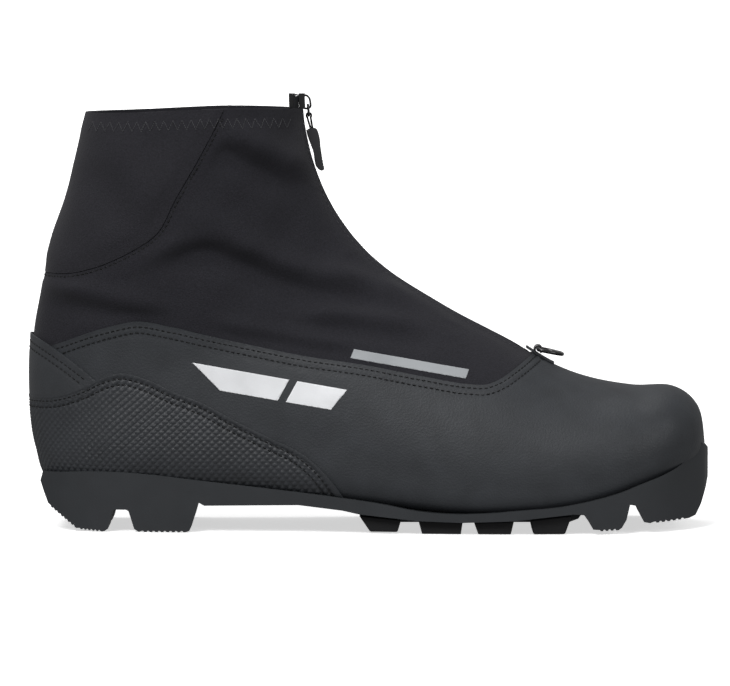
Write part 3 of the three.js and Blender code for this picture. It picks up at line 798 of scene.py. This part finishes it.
HEEL_X, HEEL_R = -111.0, 36.0  # the heel's back is round about this axis
LATTICE = (3.4, 3.0)
DIAMOND_HEIGHT, FIELD_SINK = 0.38, 0.4
DIAMOND_GROOVE, DIAMOND_SLOPE = 0.1, 0.16  # shares of a lattice step
BORDER_WIDTH, BORDER_SLOPE = 0.9, 0.8  # the smooth strip along the cup's edge


def around_heel(points):
    """Distance round the heel from its back, positive on the outer side."""
    x, y = points[..., 0], points[..., 1]
    turn = np.arctan2(np.abs(y), np.maximum(HEEL_X - x, 0))
    far = np.maximum(x - HEEL_X, 0)
    return np.where(y < 0, 1, -1) * (HEEL_R * turn + far)


def diamonds(p):
    """Height from 0 to 1 of raised diamonds in staggered rows."""
    u, v = around_heel(p) / LATTICE[0], p[..., 2] / LATTICE[1]
    edge = 0.5 - np.maximum(np.abs((u + v) % 1 - 0.5), np.abs((u - v) % 1 - 0.5))
    return np.clip((edge - DIAMOND_GROOVE) / DIAMOND_SLOPE, 0, 1)


def heel_cup():
    top = part_of(CUP_TOP, -150, -9)

    def depth(p):
        inside = np.clip((-gap_to(p, top[::3])[0] - BORDER_WIDTH) / BORDER_SLOPE, 0, 1)
        texture = inside * (DIAMOND_HEIGHT * diamonds(p) - FIELD_SINK)
        return CUP_FACE + texture + stitch_dip(p, top, STITCH_ROWS)
    rows = np.concatenate([stations(7.2, 10.2, 80), stations(10.2, 12.6, 45)[1:]])
    limits = [under(CUP_TOP), over(FEATHER, -1.5), behind(-8)]
    panel("textured_heel_cup", grid(rows, half_turns(0.36, 1.64, 420), depth), limits, "cup", CUP_THICK, 0.3,
          "heel_cup")


def heel_patch():
    top = part_of(PATCH_TOP, -150, -110)
    sheet = grid(stations(10.5, 13.6, 30), half_turns(0.5, 1.5, 200),
                 lambda p: PATCH_FACE + stitch_dip(p, top, STITCH_ROWS))
    limits = [under(PATCH_TOP), over(CUP_TOP, -3), behind(-112)]
    panel("heel_patch_leather", sheet, limits, "patch", PATCH_THICK, 0.3, "heel_patch")


# ---- inside ----
LINING_THICK, LINING_OPEN = 0.9, 10.5  # thickness, and half width of the opening behind the zip
COLLAR_FACE, COLLAR_DEEP, COLLAR_OPEN = -1.25, 13, 13
TONGUE_FACE, TONGUE_HALF, TONGUE_THICK, TONGUE_FILL = -6.3, 20, 1.8, 0.8
QUILT_HEIGHT, QUILT_WAVES, QUILT_EDGE = 0.35, 3, 5
STAY_FACE, STAY_NEAR, STAY_FAR = -4.2, 12.8, 27.5  # its face, and its edges' distances from the middle plane


def lining():
    sheet = grid(stations(0.6, LAST, 14), around(200), lining_depth)
    limits = [under(RIM, -2.2), opening(LINING_OPEN, near_front(6.2, 16.9, 12))]
    panel("lining_cloth", sheet, limits, "lining", LINING_THICK, 0.2,
                     "lining_sock")


def collar():
    sheet = grid(stations(14.5, LAST, 14), around(200), COLLAR_FACE)
    limits = [under(RIM, -0.15), over(RIM, -COLLAR_DEEP), opening(COLLAR_OPEN, ahead_of(ZIP_X))]
    panel("collar_cloth", sheet, limits, "softshell", LINING_THICK, 0.3,
                     "collar_facing")


def tongue():
    def depth(p):
        quilting = QUILT_HEIGHT * np.cos(p[..., 1] / TONGUE_HALF * math.pi * QUILT_WAVES)
        return TONGUE_FACE + quilting * np.clip((TONGUE_HALF - np.abs(p[..., 1])) / QUILT_EDGE, 0, 1)
    sheet = grid(stations(6.3, 15.5, 14), np.linspace(-0.62, 0.62, 70), depth)
    made = panel("tongue_pad", sheet, [within(TONGUE_HALF)], "lining", TONGUE_THICK, 0.6,
                 "tongue")


def eyestays():
    for name, way in SIDES:
        sheet = grid(stations(6.7, 15.1, 12), np.linspace(0.1, 1.1, 50) * -way, STAY_FACE)
        limits = [beyond(STAY_NEAR, way), short_of(STAY_FAR, way)]
        panel(f"eyestay_{name}_cloth", sheet, limits, "softshell", CLOTH_THICK, 0.3,
                         f"eyestay_{name}")


FOOTBED_RISE, FOOTBED_THICK, FOOTBED_ACROSS, FOOTBED_FILL = 7.6, 4.0, 24, 0.9
FOOTBED_FACE, FOOTBED_TIP = -4.4, 4.0  # its edge's face, and its half width at the toe's tip
CUP_RISE, CUP_WAVE, CUP_DROP = 1.6, 0.5, 0.8  # at the edge, along the middle, all over


def footbed():
    """A cupped foam pad that fills the shoe's floor from side to side."""
    row = station(stations(1.4, 10.2, 8))
    floor = np.stack([row[:, 2], row[:, 3] + FOOTBED_RISE], 1)[::-1]
    points, faces = [], []
    for n, (x, z) in enumerate(floor):
        at, angle = locate([x], [z])
        edge = FOOTBED_TIP if np.isnan(at[0]) else abs(skin(at, angle, FOOTBED_FACE)[0, 1])
        for f in np.linspace(-1, 1, FOOTBED_ACROSS + 1):
            cup = CUP_RISE * abs(f) ** 3 + CUP_WAVE * math.sin(n * 0.3) * (1 - f * f)
            points.append((x, f * edge, z + cup - CUP_DROP))
    columns = FOOTBED_ACROSS + 1
    for a in range((len(floor) - 1) * columns):
        if a % columns < FOOTBED_ACROSS:
            faces.append((a, a + 1, a + columns + 1, a + columns))
    pad = facing_out(piece("footbed_pad", points, faces, "foam"))
    if sum(p.normal.z for p in pad.data.polygons) < 0:
        pad.data.flip_normals()
    thick(pad, FOOTBED_THICK, 0.8)
    belongs(pad, "boot", "footbed")


# ---- stitching ----
# pitch, length, width and height of each kind of stitch
LEATHER_STITCH = (2.5, 1.75, 0.5, 0.42)
SEAM_STITCH = (2.4, 1.7, 0.6, 0.5)
ZIP_STITCH = (2.6, 1.7, 0.4, 0.3)
ZIGZAG_STITCH = (1.0, 1.0, 0.42, 0.34)
CORD_STITCH = (2.2, 1.5, 1.5, 0.5)
SHELL_THREAD, CUP_THREAD, PATCH_THREAD = 1.5, 2.68, 2.42  # where the stitches' middles lie, over the surface
ZIP_TOP = 15.95  # station of the zip's upper end
ZIGZAG_BELOW, ZIGZAG_HALF, ZIGZAG_STEP = 6.2, 2.1, 1.95  # under the rim, half its height, half its pitch


def both_sides(outline, depth):
    return [on_surface(outline, side, depth) for side in (1, -1)]


def clear_of(row, line, lift=0.4):
    """The part of a row that isn't covered by the piece under a line."""
    return row[row[:, 1] > np.interp(row[:, 0], *line.T) + lift]


def double_rows(line, depth, cover=None):
    """Both rows beside a cut edge, on both sides, where the piece under the cover line doesn't hide them."""
    rows = []
    for distance in STITCH_ROWS:
        row = beside(line, distance)
        rows += both_sides(row if cover is None else clear_of(row, cover), depth)
    return rows


def zip_edge_rows():
    s = np.linspace(ZIP_END + 0.25, 15.9, 500)
    angle = np.array([front_angle(value, ZIP_GAP + 2.6) for value in s])
    return [lifted(s, angle * side, cloth_depth) for side in (1, -1)]


def stitching():
    top, cup = part_of(SHELL_TOP, -140, 73), part_of(CUP_TOP, -149, -10)
    patch = part_of(PATCH_TOP, -149, -113)
    seam = beside(part_of(BACK_SEAM, -144, -62.6), 1.4)
    s = np.linspace(13.5, ZIP_TOP, 300)
    middle = [lifted(s, np.full_like(s, math.pi), cloth_depth)]
    for name, rows, look, sizes in (
            ("shell_stitches", double_rows(top, SHELL_THREAD, PATCH_TOP), "thread", LEATHER_STITCH),
            ("cup_stitches", double_rows(cup, CUP_THREAD), "thread", LEATHER_STITCH),
            ("patch_stitches", double_rows(patch, PATCH_THREAD, CUP_TOP), "thread", LEATHER_STITCH),
            ("back_seam_stitches", both_sides(seam, cloth_depth), "thread", SEAM_STITCH),
            ("zip_edge_stitches", zip_edge_rows(), "gaiter thread", ZIP_STITCH),
            ("collar_zigzag", [zigzag(side) for side in (1, -1)], "gaiter thread", ZIGZAG_STITCH),
            ("back_middle_seam", middle, "thread", CORD_STITCH)):
        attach(stitches(name, rows, look, *sizes), "boot")


def front_angle(s, reach):
    """The angle where the surface is reach away from the boot's middle plane, near the front line."""
    row = station(s)
    width = reach / row[4]
    return math.atan2(width, (1 - width ** row[7]) ** (1 / row[7]))


def zigzag(side):
    """A zigzag row just under the collar rim, from the zip round to the back."""
    corners = resample(shifted(part_of(RIM, -125, -31), 0, -ZIGZAG_BELOW), ZIGZAG_STEP)
    corners[:, 1] += np.where(np.arange(len(corners)) % 2, 1, -1) * ZIGZAG_HALF
    on_back = over(BACK_SEAM)
    return on_surface(corners, side, lambda p: cloth_depth(p) + BACK_LAP * (on_back(p) > 0))


# ---- sole ----
# the sole's plan: X, then its half width on the outer and on the inner side
PLAN_ROWS = [
    (-148, 5, 5), (-145.5, 15, 15), (-138, 25, 25), (-122, 32, 32), (-98, 36, 35.5), (-70, 38, 36),
    (-35, 41, 37), (0, 45, 40.5), (35, 49, 46), (65, 50.5, 50.5), (90, 49.5, 48.5), (112, 44.5, 44.5),
    (130, 35, 38), (141, 23, 29), (147.5, 13, 21), (150, 3, 11)]
PLAN = np.vstack([smooth([(x, -outer) for x, outer, _ in PLAN_ROWS], 8),
                  smooth([(x, inner) for x, _, inner in PLAN_ROWS[::-1]], 8)])


def inset_plan(by):
    ahead = np.roll(PLAN, -1, 0) - np.roll(PLAN, 1, 0)
    ahead /= np.linalg.norm(ahead, axis=1, keepdims=True)
    return PLAN + by * np.stack([-ahead[:, 1], ahead[:, 0]], 1)


def teeth(start, end, count, height):
    """A row of small teeth along a line from start to end, seen from the side."""
    points = []
    for n in range(count):
        for f, lift in ((0.0, 0.0), (0.45, 0.0), (0.6, height), (0.9, height)):
            t = (n + f) / count
            points.append((start[0] + (end[0] - start[0]) * t, start[1] + (end[1] - start[1]) * t + lift))
    return points


TOE_BLOCK = [(150.2, 34), (150.4, 24), (148.7, 18), (146, 10.5), (143.4, 6), (140.5, 5),
             *teeth((139, 4.9), (124, 4.2), 6, 0.55), (122.5, 4.2), (119.8, 4.8), (118, 8), (116.5, 12)]
LUG_FIVE = [(113.6, 12.5), (112, 6), (110, 2.7), *teeth((108.5, 1.7), (99.5, 1.4), 4, 0.6), (97.5, 2.2),
            (95, 6.4)]
ARCH = [(93.5, 8.5), (89, 8.9), (70, 6.8), (63, 6), (41, 5.2), (22, 5.8), (15, 6.5), (-4, 8.5), (-11, 10),
        (-30, 12.2), (-71, 11.6), (-73.6, 13)]
HEEL_LUGS = [(-75, 8), (-76.4, 3), (-77.5, 0.6), *teeth((-79, 0), (-98.5, 0), 8, 0.5), (-99.5, 0),
             (-101.5, 1.2), (-104, 9), (-105, 9.6), (-110, 9.6), (-111, 9), (-113, 1.2), (-114.5, 0.2),
             *teeth((-115.5, 0), (-126, 0.8), 6, 0.5), *teeth((-127, 1.2), (-139, 10.6), 8, 0.5),
             (-139.6, 11.6), (-141.4, 16), (-143.2, 21)]
UNDERSIDE = TOE_BLOCK + LUG_FIVE + ARCH + HEEL_LUGS
SOLE_INSET, SOLE_EDGE = 0.3, 0.45
BELOW, ABOVE, ASIDE = -1, 60, 80  # how far the cutting solids reach, clear of the sole
KEEL, KEEL_HALF = [(-8, 13), (-2, 4.5), (4, 3), (88, 3), (92, 4.5), (96, 10), (60, 8.6), (30, 8.6)], 22
# heel channel, toe recess, toe notch and two grooves:
# start and end along the boot, middle and half width across it, height
SOLE_CUTS = [(-160, -60, 0, 7, 8.5), (132, 143.2, 0, 17, 15), (118.5, 133, 0, 14, 6.4),
             (-12, 112, -11, 3, 4.6), (-12, 112, 11, 3, 4.6)]


def sole():
    made = plate("outsole", inset_plan(SOLE_INSET), BELOW, ABOVE, "sole")
    top = [tuple(p) for p in part_of(FEATHER, UNDERSIDE[-1][0], 148)]
    combine(made, [prism("side", top + UNDERSIDE, -ASIDE, ASIDE, "sole")], "INTERSECT")
    combine(made, [prism("keel", KEEL, -KEEL_HALF, KEEL_HALF, "sole")], "UNION")
    cuts = [box("cut", (start, middle - half, BELOW), (end, middle + half, height), "sole")
            for start, end, middle, half, height in SOLE_CUTS]
    combine(made, cuts, "DIFFERENCE")
    belongs(soften(made, SOLE_EDGE, 28), "boot", "outsole_plate")


BAR_X, BAR_Z, BAR_HALF, BAR_RADIUS = 138, 10.5, 16.7, 2.1


def toe_bar():
    path = [(BAR_X, y, BAR_Z) for y in np.linspace(-BAR_HALF, BAR_HALF, 12)]
    belongs(tube("toe_bar_pin", path, BAR_RADIUS, "steel", sides=32), "boot", "toe_bar")


LUGS = [
    [(14.5, 6), (12.9, 0.6), (1, 0.6), (-3.8, 7.6)],
    [(41, 4.8), (40.3, 0), (23.5, 0), (22, 5.4)],
    [(63.2, 5.5), (61.9, 0), (47.8, 0), (46, 4.9)],
    [(88.4, 8.3), (85.4, 0), (71.6, 0), (70.2, 6.3)],
]
PAD_NEAR, PAD_FAR, PAD_INSET = 22.5, 60, 4  # from the middle plane, and in from the sole's edge


# the pads' near-black colour is partly real rubber and partly painted shade of their recess inside the
# sole's rim
def grip_pads():
    for number, outline in enumerate(LUGS, 1):
        for name, low, high in (("outer", -PAD_FAR, -PAD_NEAR), ("inner", PAD_NEAR, PAD_FAR)):
            pad = prism(f"rubber_pad_{number}_{name}", outline, low, high, "rubber")
            combine(pad, [plate("trim", inset_plan(PAD_INSET), -2, 20, "rubber")], "INTERSECT")
            belongs(soften(pad, 1.1, 30, 4), "boot", f"grip_pad_{number}_{name}")


# ---- zip ----
COIL_PITCH, COIL_SAMPLES, COIL_FACE = 1.35, 12, -1.75
COIL_MIDDLE, COIL_HALF, COIL_RISE = 2.0, 1.36, 0.95  # the gap lets the slider's post pass
COIL_WIRE, CORE_RADIUS = 0.33, 0.6
TAPE_FACE, TAPE_THICK = -1.35, 0.6
TAPE_NEAR, TAPE_FAR, TAPE_END = 1.2, 12.5, 5.2  # from the middle plane, and below the rim


def front_line(depth, spacing, low=ZIP_END + 0.15, high=ZIP_TOP):
    """Points and normals along the zip line."""
    s = np.linspace(low, high, 900)
    return resample(np.hstack([skin(s, np.zeros_like(s), depth), normals(s, np.zeros_like(s))]), spacing)


def zip_coil(name, way):
    line = front_line(COIL_FACE, COIL_PITCH / COIL_SAMPLES)
    turn = 2 * math.pi * np.arange(len(line)) / COIL_SAMPLES
    path = line[:, :3] + line[:, 3:] * (COIL_RISE * np.sin(turn))[:, None]
    path[:, 1] = way * (COIL_MIDDLE - COIL_HALF * np.cos(turn))
    core_path = line[::COIL_SAMPLES // 2, :3].copy()
    core_path[:, 1] = way * COIL_MIDDLE
    strands = [tube("coil", path, COIL_WIRE, "coil", sides=6), tube("core", core_path, CORE_RADIUS, "coil")]
    belongs(join(f"zip_coil_{name}", strands, "coil"), "boot", f"zip_chain_{name}")


def zip_tape(name, way):
    sheet = grid(stations(ZIP_END + 0.12, 16.6, 12), np.linspace(0.0, 0.5, 40) * -way, TAPE_FACE)
    limits = [beyond(TAPE_NEAR, way), short_of(TAPE_FAR, way), under(RIM, TAPE_END)]
    panel(f"zip_tape_{name}_cloth", sheet, limits, "tape", TAPE_THICK, 0.1, f"zip_tape_{name}")


def arc_band(low_depth, high_depth, start, end, steps=6):
    angles = np.linspace(start, end, steps + 1)
    return [on_arc(a, low_depth) for a in angles] + [on_arc(a, high_depth) for a in angles[::-1]]


SLIDER_FROM, SLIDER_TO = -0.1, 3.9  # degrees round the zip's arc
SLIDER_HALF, FLANGE_IN, POST_HALF = 5, 4.05, 0.22
BRIDGE_ARCH = [(0.35, 0.9), (0.5, 2.3), (1.2, 3.35), (2.4, 3.75), (3.4, 3.7), (3.8, 2.9), (3.85, 1.0)]
BRIDGE_RADIUS = 0.48


def slider_plate(low_depth, high_depth, half=SLIDER_HALF, start=SLIDER_FROM, end=SLIDER_TO, name="plate"):
    return prism(name, arc_band(low_depth, high_depth, start, end), -half, half, "metal")


def zip_slider():
    body = slider_plate(0.5, 1.4, name="zip_slider_body")
    parts = [slider_plate(-5.6, -3.4), slider_plate(-3.6, 0.7, POST_HALF, 0, 1.6)]
    for low, high in ((-SLIDER_HALF, -FLANGE_IN), (FLANGE_IN, SLIDER_HALF)):
        for low_depth, high_depth in ((-1.2, 0.6), (-3.5, -3.1)):
            outline = arc_band(low_depth, high_depth, SLIDER_FROM, SLIDER_TO)
            parts.append(prism("flange", outline, low, high, "metal"))
    combine(body, parts, "UNION")
    belongs(soften(body, 0.4, 35, 3), "zip_slider", "zip_slider")
    bridge = [(x, 0.0, z) for x, z in smooth([on_arc(a, d) for a, d in BRIDGE_ARCH], 6)]
    crown = widen(tube("slider_bridge", bridge, BRIDGE_RADIUS, "metal", sides=12), BRIDGE_WIDTH)
    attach(crown, "zip_slider")


LINK_X, LINK_Z = on_arc(2.95, 2.65)
TAB_X, TAB_Z = LINK_X + 0.4, LINK_Z - 4.6
LINK_HALF, LINK_CORNER, LINK_WIRE = 3.1, 0.9, 0.55
STRAND_Y, STRAND_EYE, STRAND_RADIUS = 0.75, 1.05, 0.45
# the tab's outline and its first groove, from the point where the cord goes in
TAB_OUTLINE = [(-2.4, 0), (0, 0.9), (2, 0.5), (2.8, -1.2), (4, -9), (5.2, -15.8), (5.4, -17.2), (4.4, -17.8),
               (2.9, -17.1), (0.5, -9), (-2, -2), (-2.4, 0)]
TAB_HALF = 4.2
GROOVE_X, GROOVE_Z, GROOVE_DX, GROOVE_DZ, GROOVE_HALF = 4.35, -11.6, 0.22, -1.3, 0.3


def pull_link():
    corners = [(LINK_X, -LINK_HALF, LINK_Z), (LINK_X, LINK_HALF, LINK_Z), (TAB_X, LINK_HALF, TAB_Z),
               (TAB_X, -LINK_HALF, TAB_Z)]
    path = smooth_loop(corners, LINK_CORNER)
    link = tube("pull_link_wire", path, LINK_WIRE, "metal", closed=True, sides=10)
    belongs(link, "pull_link", "pull_link")


def pull_cord():
    end_x, end_z = TAB_X + 1.7, TAB_Z - 8
    strands = []
    for y in (-STRAND_Y, STRAND_Y):
        loop = [(TAB_X + STRAND_EYE * math.cos(t), y, TAB_Z + STRAND_EYE * math.sin(t))
                for t in half_turns(-0.25, 1.25, 24)]
        path = [(end_x + 0.3, y, end_z), *loop, (end_x - 0.3, y, end_z)]
        strands.append(tube("strand", path, STRAND_RADIUS, "cord"))
    belongs(join("pull_cord_loop", strands, "cord"), "pull_tab", "pull_cord")


def pull_tab():
    x, z = TAB_X + 1.3, TAB_Z - 6.4
    outline = smooth([(x + dx, z + dz) for dx, dz in TAB_OUTLINE], 4)[:-1]
    tab = prism("pull_tab_moulding", [tuple(p) for p in outline], -TAB_HALF, TAB_HALF, "tab")
    grooves = []
    for n in range(4):
        at_x, at_z = x + GROOVE_X + n * GROOVE_DX, z + GROOVE_Z + n * GROOVE_DZ
        low, high = (at_x, -5, at_z - GROOVE_HALF), (at_x + 4, 5, at_z + GROOVE_HALF)
        grooves.append(box("groove", low, high, "tab"))
    combine(tab, grooves, "DIFFERENCE")
    belongs(soften(tab, 0.5, 40, 3), "pull_tab", "pull_tab")


def smooth_loop(corners, radius, per=6):
    """A closed path with its corners rounded."""
    corners = np.array(corners, float)
    path = []
    for n, corner in enumerate(corners):
        before, after = corners[n - 1], corners[(n + 1) % len(corners)]
        a = corner + (before - corner) / np.linalg.norm(before - corner) * radius
        b = corner + (after - corner) / np.linalg.norm(after - corner) * radius
        for f in np.linspace(0, 1, per):
            path.append((1 - f) ** 2 * a + 2 * f * (1 - f) * corner + f * f * b)
    return np.array(path)


# ---- gaiter ring at the zip's foot ----
RING_X, RING_Z, RING_WIRE, RING_CORNER = 75.0, 77.4, 0.85, 2.4
# the ring's corners from its hinge: along, across and up
RING_CORNERS = [(0, -7, 0), (0, 7, 0), (6, 7, -1.2), (10.6, 3.5, -2.2), (10.6, -3.5, -2.2), (6, -7, -1.2)]
CLIP_OUTER, CLIP_INNER, CLIP_HALF = 2.0, 1.15, 4.6
RING_TAB_FACE, RING_TAB_HALF, RING_TAB_FROM, RING_TAB_TO = 2.3, 5, 70, 82
STOP_FACE, STOP_RADIUS = -0.4, 1.0


def gaiter_ring():
    corners = [(RING_X + dx, y, RING_Z + dz) for dx, y, dz in RING_CORNERS]
    path = smooth_loop(corners, RING_CORNER, 8)
    ring = tube("gaiter_ring_wire", path, RING_WIRE, "metal", closed=True, sides=16)
    belongs(ring, "gaiter_ring", "gaiter_ring")


def ring_clip():
    turns = half_turns(-0.35, 1.2, 22)
    outline = [(RING_X + radius * math.cos(t), RING_Z + radius * math.sin(t))
               for radius, way in ((CLIP_OUTER, 1), (CLIP_INNER, -1)) for t in turns[::way]]
    eye = prism("ring_clip_eye", outline, -CLIP_HALF, CLIP_HALF, "metal")
    belongs(soften(eye, 0.25, 40), "boot", "ring_clip")


def ring_tab():
    sheet = grid(stations(4.6, 6.2, 40), np.linspace(-0.2, 0.2, 40), RING_TAB_FACE)
    limits = [within(RING_TAB_HALF), ahead_of(RING_TAB_FROM), behind(RING_TAB_TO)]
    panel("ring_tab_leather", sheet, limits, "patch", 0.75, 0.3, "ring_tab")


def bottom_stop():
    line = front_line(STOP_FACE, 0.4, ZIP_END + 0.03, ZIP_END + 0.14)
    stop = widen(tube("bottom_stop_bar", line[:, :3], STOP_RADIUS, "metal", sides=12), STOP_WIDTH)
    belongs(stop, "boot", "zip_bottom_stop")


# ---- plain printed marks ----
LONG_BAR = [(-76, 73.8), (-34, 66.6), (-39, 57.6), (-64, 61.8)]
SHORT_BAR = [(-30.5, 66), (-9, 62.3), (-16, 53.8), (-35.5, 57)]
STRIP = [(-6, 79.6), (44, 70.6), (42.5, 66.8), (-7.5, 75.8)]
BAR_FACE, STRIP_PROUD, PRINT_THICK = 1.62, 0.14, 0.12


def slab(name, outline, depth, look):
    """A thin print laid on the surface inside a convex side outline."""
    outline = np.array(outline, float)
    centre = outline.mean(0)
    limits = []
    for n in range(len(outline)):
        a, b = outline[n], outline[(n + 1) % len(outline)]
        inward = np.array([-(b - a)[1], (b - a)[0]])
        inward = inward / np.linalg.norm(inward)
        if inward @ (centre - a) < 0:
            inward = -inward
        limits.append(lambda p, a=a, w=inward: (p[:, 0] - a[0]) * w[0] + (p[:, 2] - a[1]) * w[1])
    s, angle = locate(outline[:, 0], outline[:, 1])
    sheet = grid(stations(s.min() - 0.3, s.max() + 0.3, 24),
                 np.linspace(angle.min() - 0.15, angle.max() + 0.15, 70), depth)
    return piece(name, *clip(*sheet, *limits), look)


def prints():
    """Plain marks: a white bar in two lengths on the shell and a short reflective strip on the gaiter."""
    on_cloth = lambda p: cloth_depth(p) + STRIP_PROUD
    for name, outline, depth, look in (("shell_bar_long", LONG_BAR, BAR_FACE, "print"),
                                       ("shell_bar_short", SHORT_BAR, BAR_FACE, "print"),
                                       ("gaiter_strip", STRIP, on_cloth, "reflective")):
        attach(thick(slab(name, outline, depth, look), PRINT_THICK, 0), "boot")


# ---- hidden frame pieces keep their own shape ----
HIDDEN = {"lasting_board": "board", "shank": "steel", "heel_stiffener": "stiffener", "toe_puff": "stiffener"}


def hidden_nodes():
    for node, look in HIDDEN.items():
        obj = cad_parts[node]
        obj.data.materials.clear()
        obj.data.materials.append(MATERIALS[look])


# ---- stage, light, camera, in metres ----
WHITE, FLOOR_GLOW, SKY_STRENGTH = (1, 1, 1, 1), 0.6, 0.3
FLOOR_NEAR, FLOOR_HALF, WALL_Y, WALL_TOP, WALL_BEND = -8, 9, 6, 8, 2
# name, place, size, watts, and the point the lamp looks at
BOOT_MIDDLE = (0, 0, 0.08)
LAMPS = [("key", (-0.7, -1.5, 1.6), 0.9, 34, BOOT_MIDDLE), ("fill", (1.5, -1.3, 0.9), 1.0, 10, BOOT_MIDDLE),
         ("top", (-0.3, 0.4, 1.8), 1.2, 11, BOOT_MIDDLE), ("wall", (0, 3.2, 3.5), 3.5, 160, (0, 6, 1.2))]
LENS_MM, SENSOR_MM = 269.5, 36
EYE, AIM = (-0.0012, -2.40, 0.2335), (-0.0012, 0, 0.08)


def added(obj):
    bpy.context.scene.collection.objects.link(obj)
    return obj


def look_at(obj, place, target):
    obj.location = place
    obj.rotation_euler = (Vector(target) - obj.location).to_track_quat("-Z", "Y").to_euler()


def studio_floor():
    """A floor that turns up into a wall behind the boot."""
    white = material("studio_white", (0.92, 0.92, 0.92), 0.9)
    put(white.node_tree.nodes["Principled BSDF"], Emission_Color=WHITE, Emission_Strength=FLOOR_GLOW)
    bend = [(WALL_Y - WALL_BEND + WALL_BEND * math.sin(a), WALL_BEND - WALL_BEND * math.cos(a))
            for a in np.linspace(0, math.pi / 2, 14)]
    profile = [(FLOOR_NEAR, 0), *bend, (WALL_Y, WALL_TOP)]
    points = [(x, y, z) for y, z in profile for x in (-FLOOR_HALF, FLOOR_HALF)]
    faces = [(2 * n, 2 * n + 1, 2 * n + 3, 2 * n + 2) for n in range(len(profile) - 1)]
    mesh = bpy.data.meshes.new("studio_floor")
    mesh.from_pydata(points, [], faces)
    mesh.polygons.foreach_set("use_smooth", [True] * len(faces))
    mesh.materials.append(white)
    floor = added(bpy.data.objects.new("studio_floor", mesh))
    floor.location.z = -0.0002
    floor.visible_diffuse = floor.visible_glossy = False


def light():
    world = bpy.data.worlds.new("studio")
    bpy.context.scene.world = world
    world.use_nodes = True
    put(world.node_tree.nodes["Background"], Color=WHITE, Strength=SKY_STRENGTH)
    for name, place, size, watts, target in LAMPS:
        data = bpy.data.lights.new(name, "AREA")
        data.size, data.energy = size, watts
        look_at(added(bpy.data.objects.new(name, data)), place, target)
    bpy.context.scene.view_settings.view_transform = "Standard"


def camera():
    data = bpy.data.cameras.new("camera")
    data.lens, data.sensor_width = LENS_MM, SENSOR_MM
    made = added(bpy.data.objects.new("camera", data))
    look_at(made, EYE, AIM)
    bpy.context.scene.camera = made


BEFORE_ZIP = [heel_cup, heel_patch, lining, collar, tongue, eyestays, footbed, stitching, sole, toe_bar,
              grip_pads]
AFTER_ZIP = [zip_slider, pull_link, pull_cord, pull_tab, gaiter_ring, ring_clip, ring_tab, bottom_stop,
             prints, hidden_nodes, studio_floor, light, camera]


def main():
    shell()
    for sheet in gaiter_panels() + [back_panel()]:
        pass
    for build in BEFORE_ZIP:
        build()
    for name, way in SIDES:
        zip_coil(name, way)
        zip_tape(name, way)
    for build in AFTER_ZIP:
        build()


main()
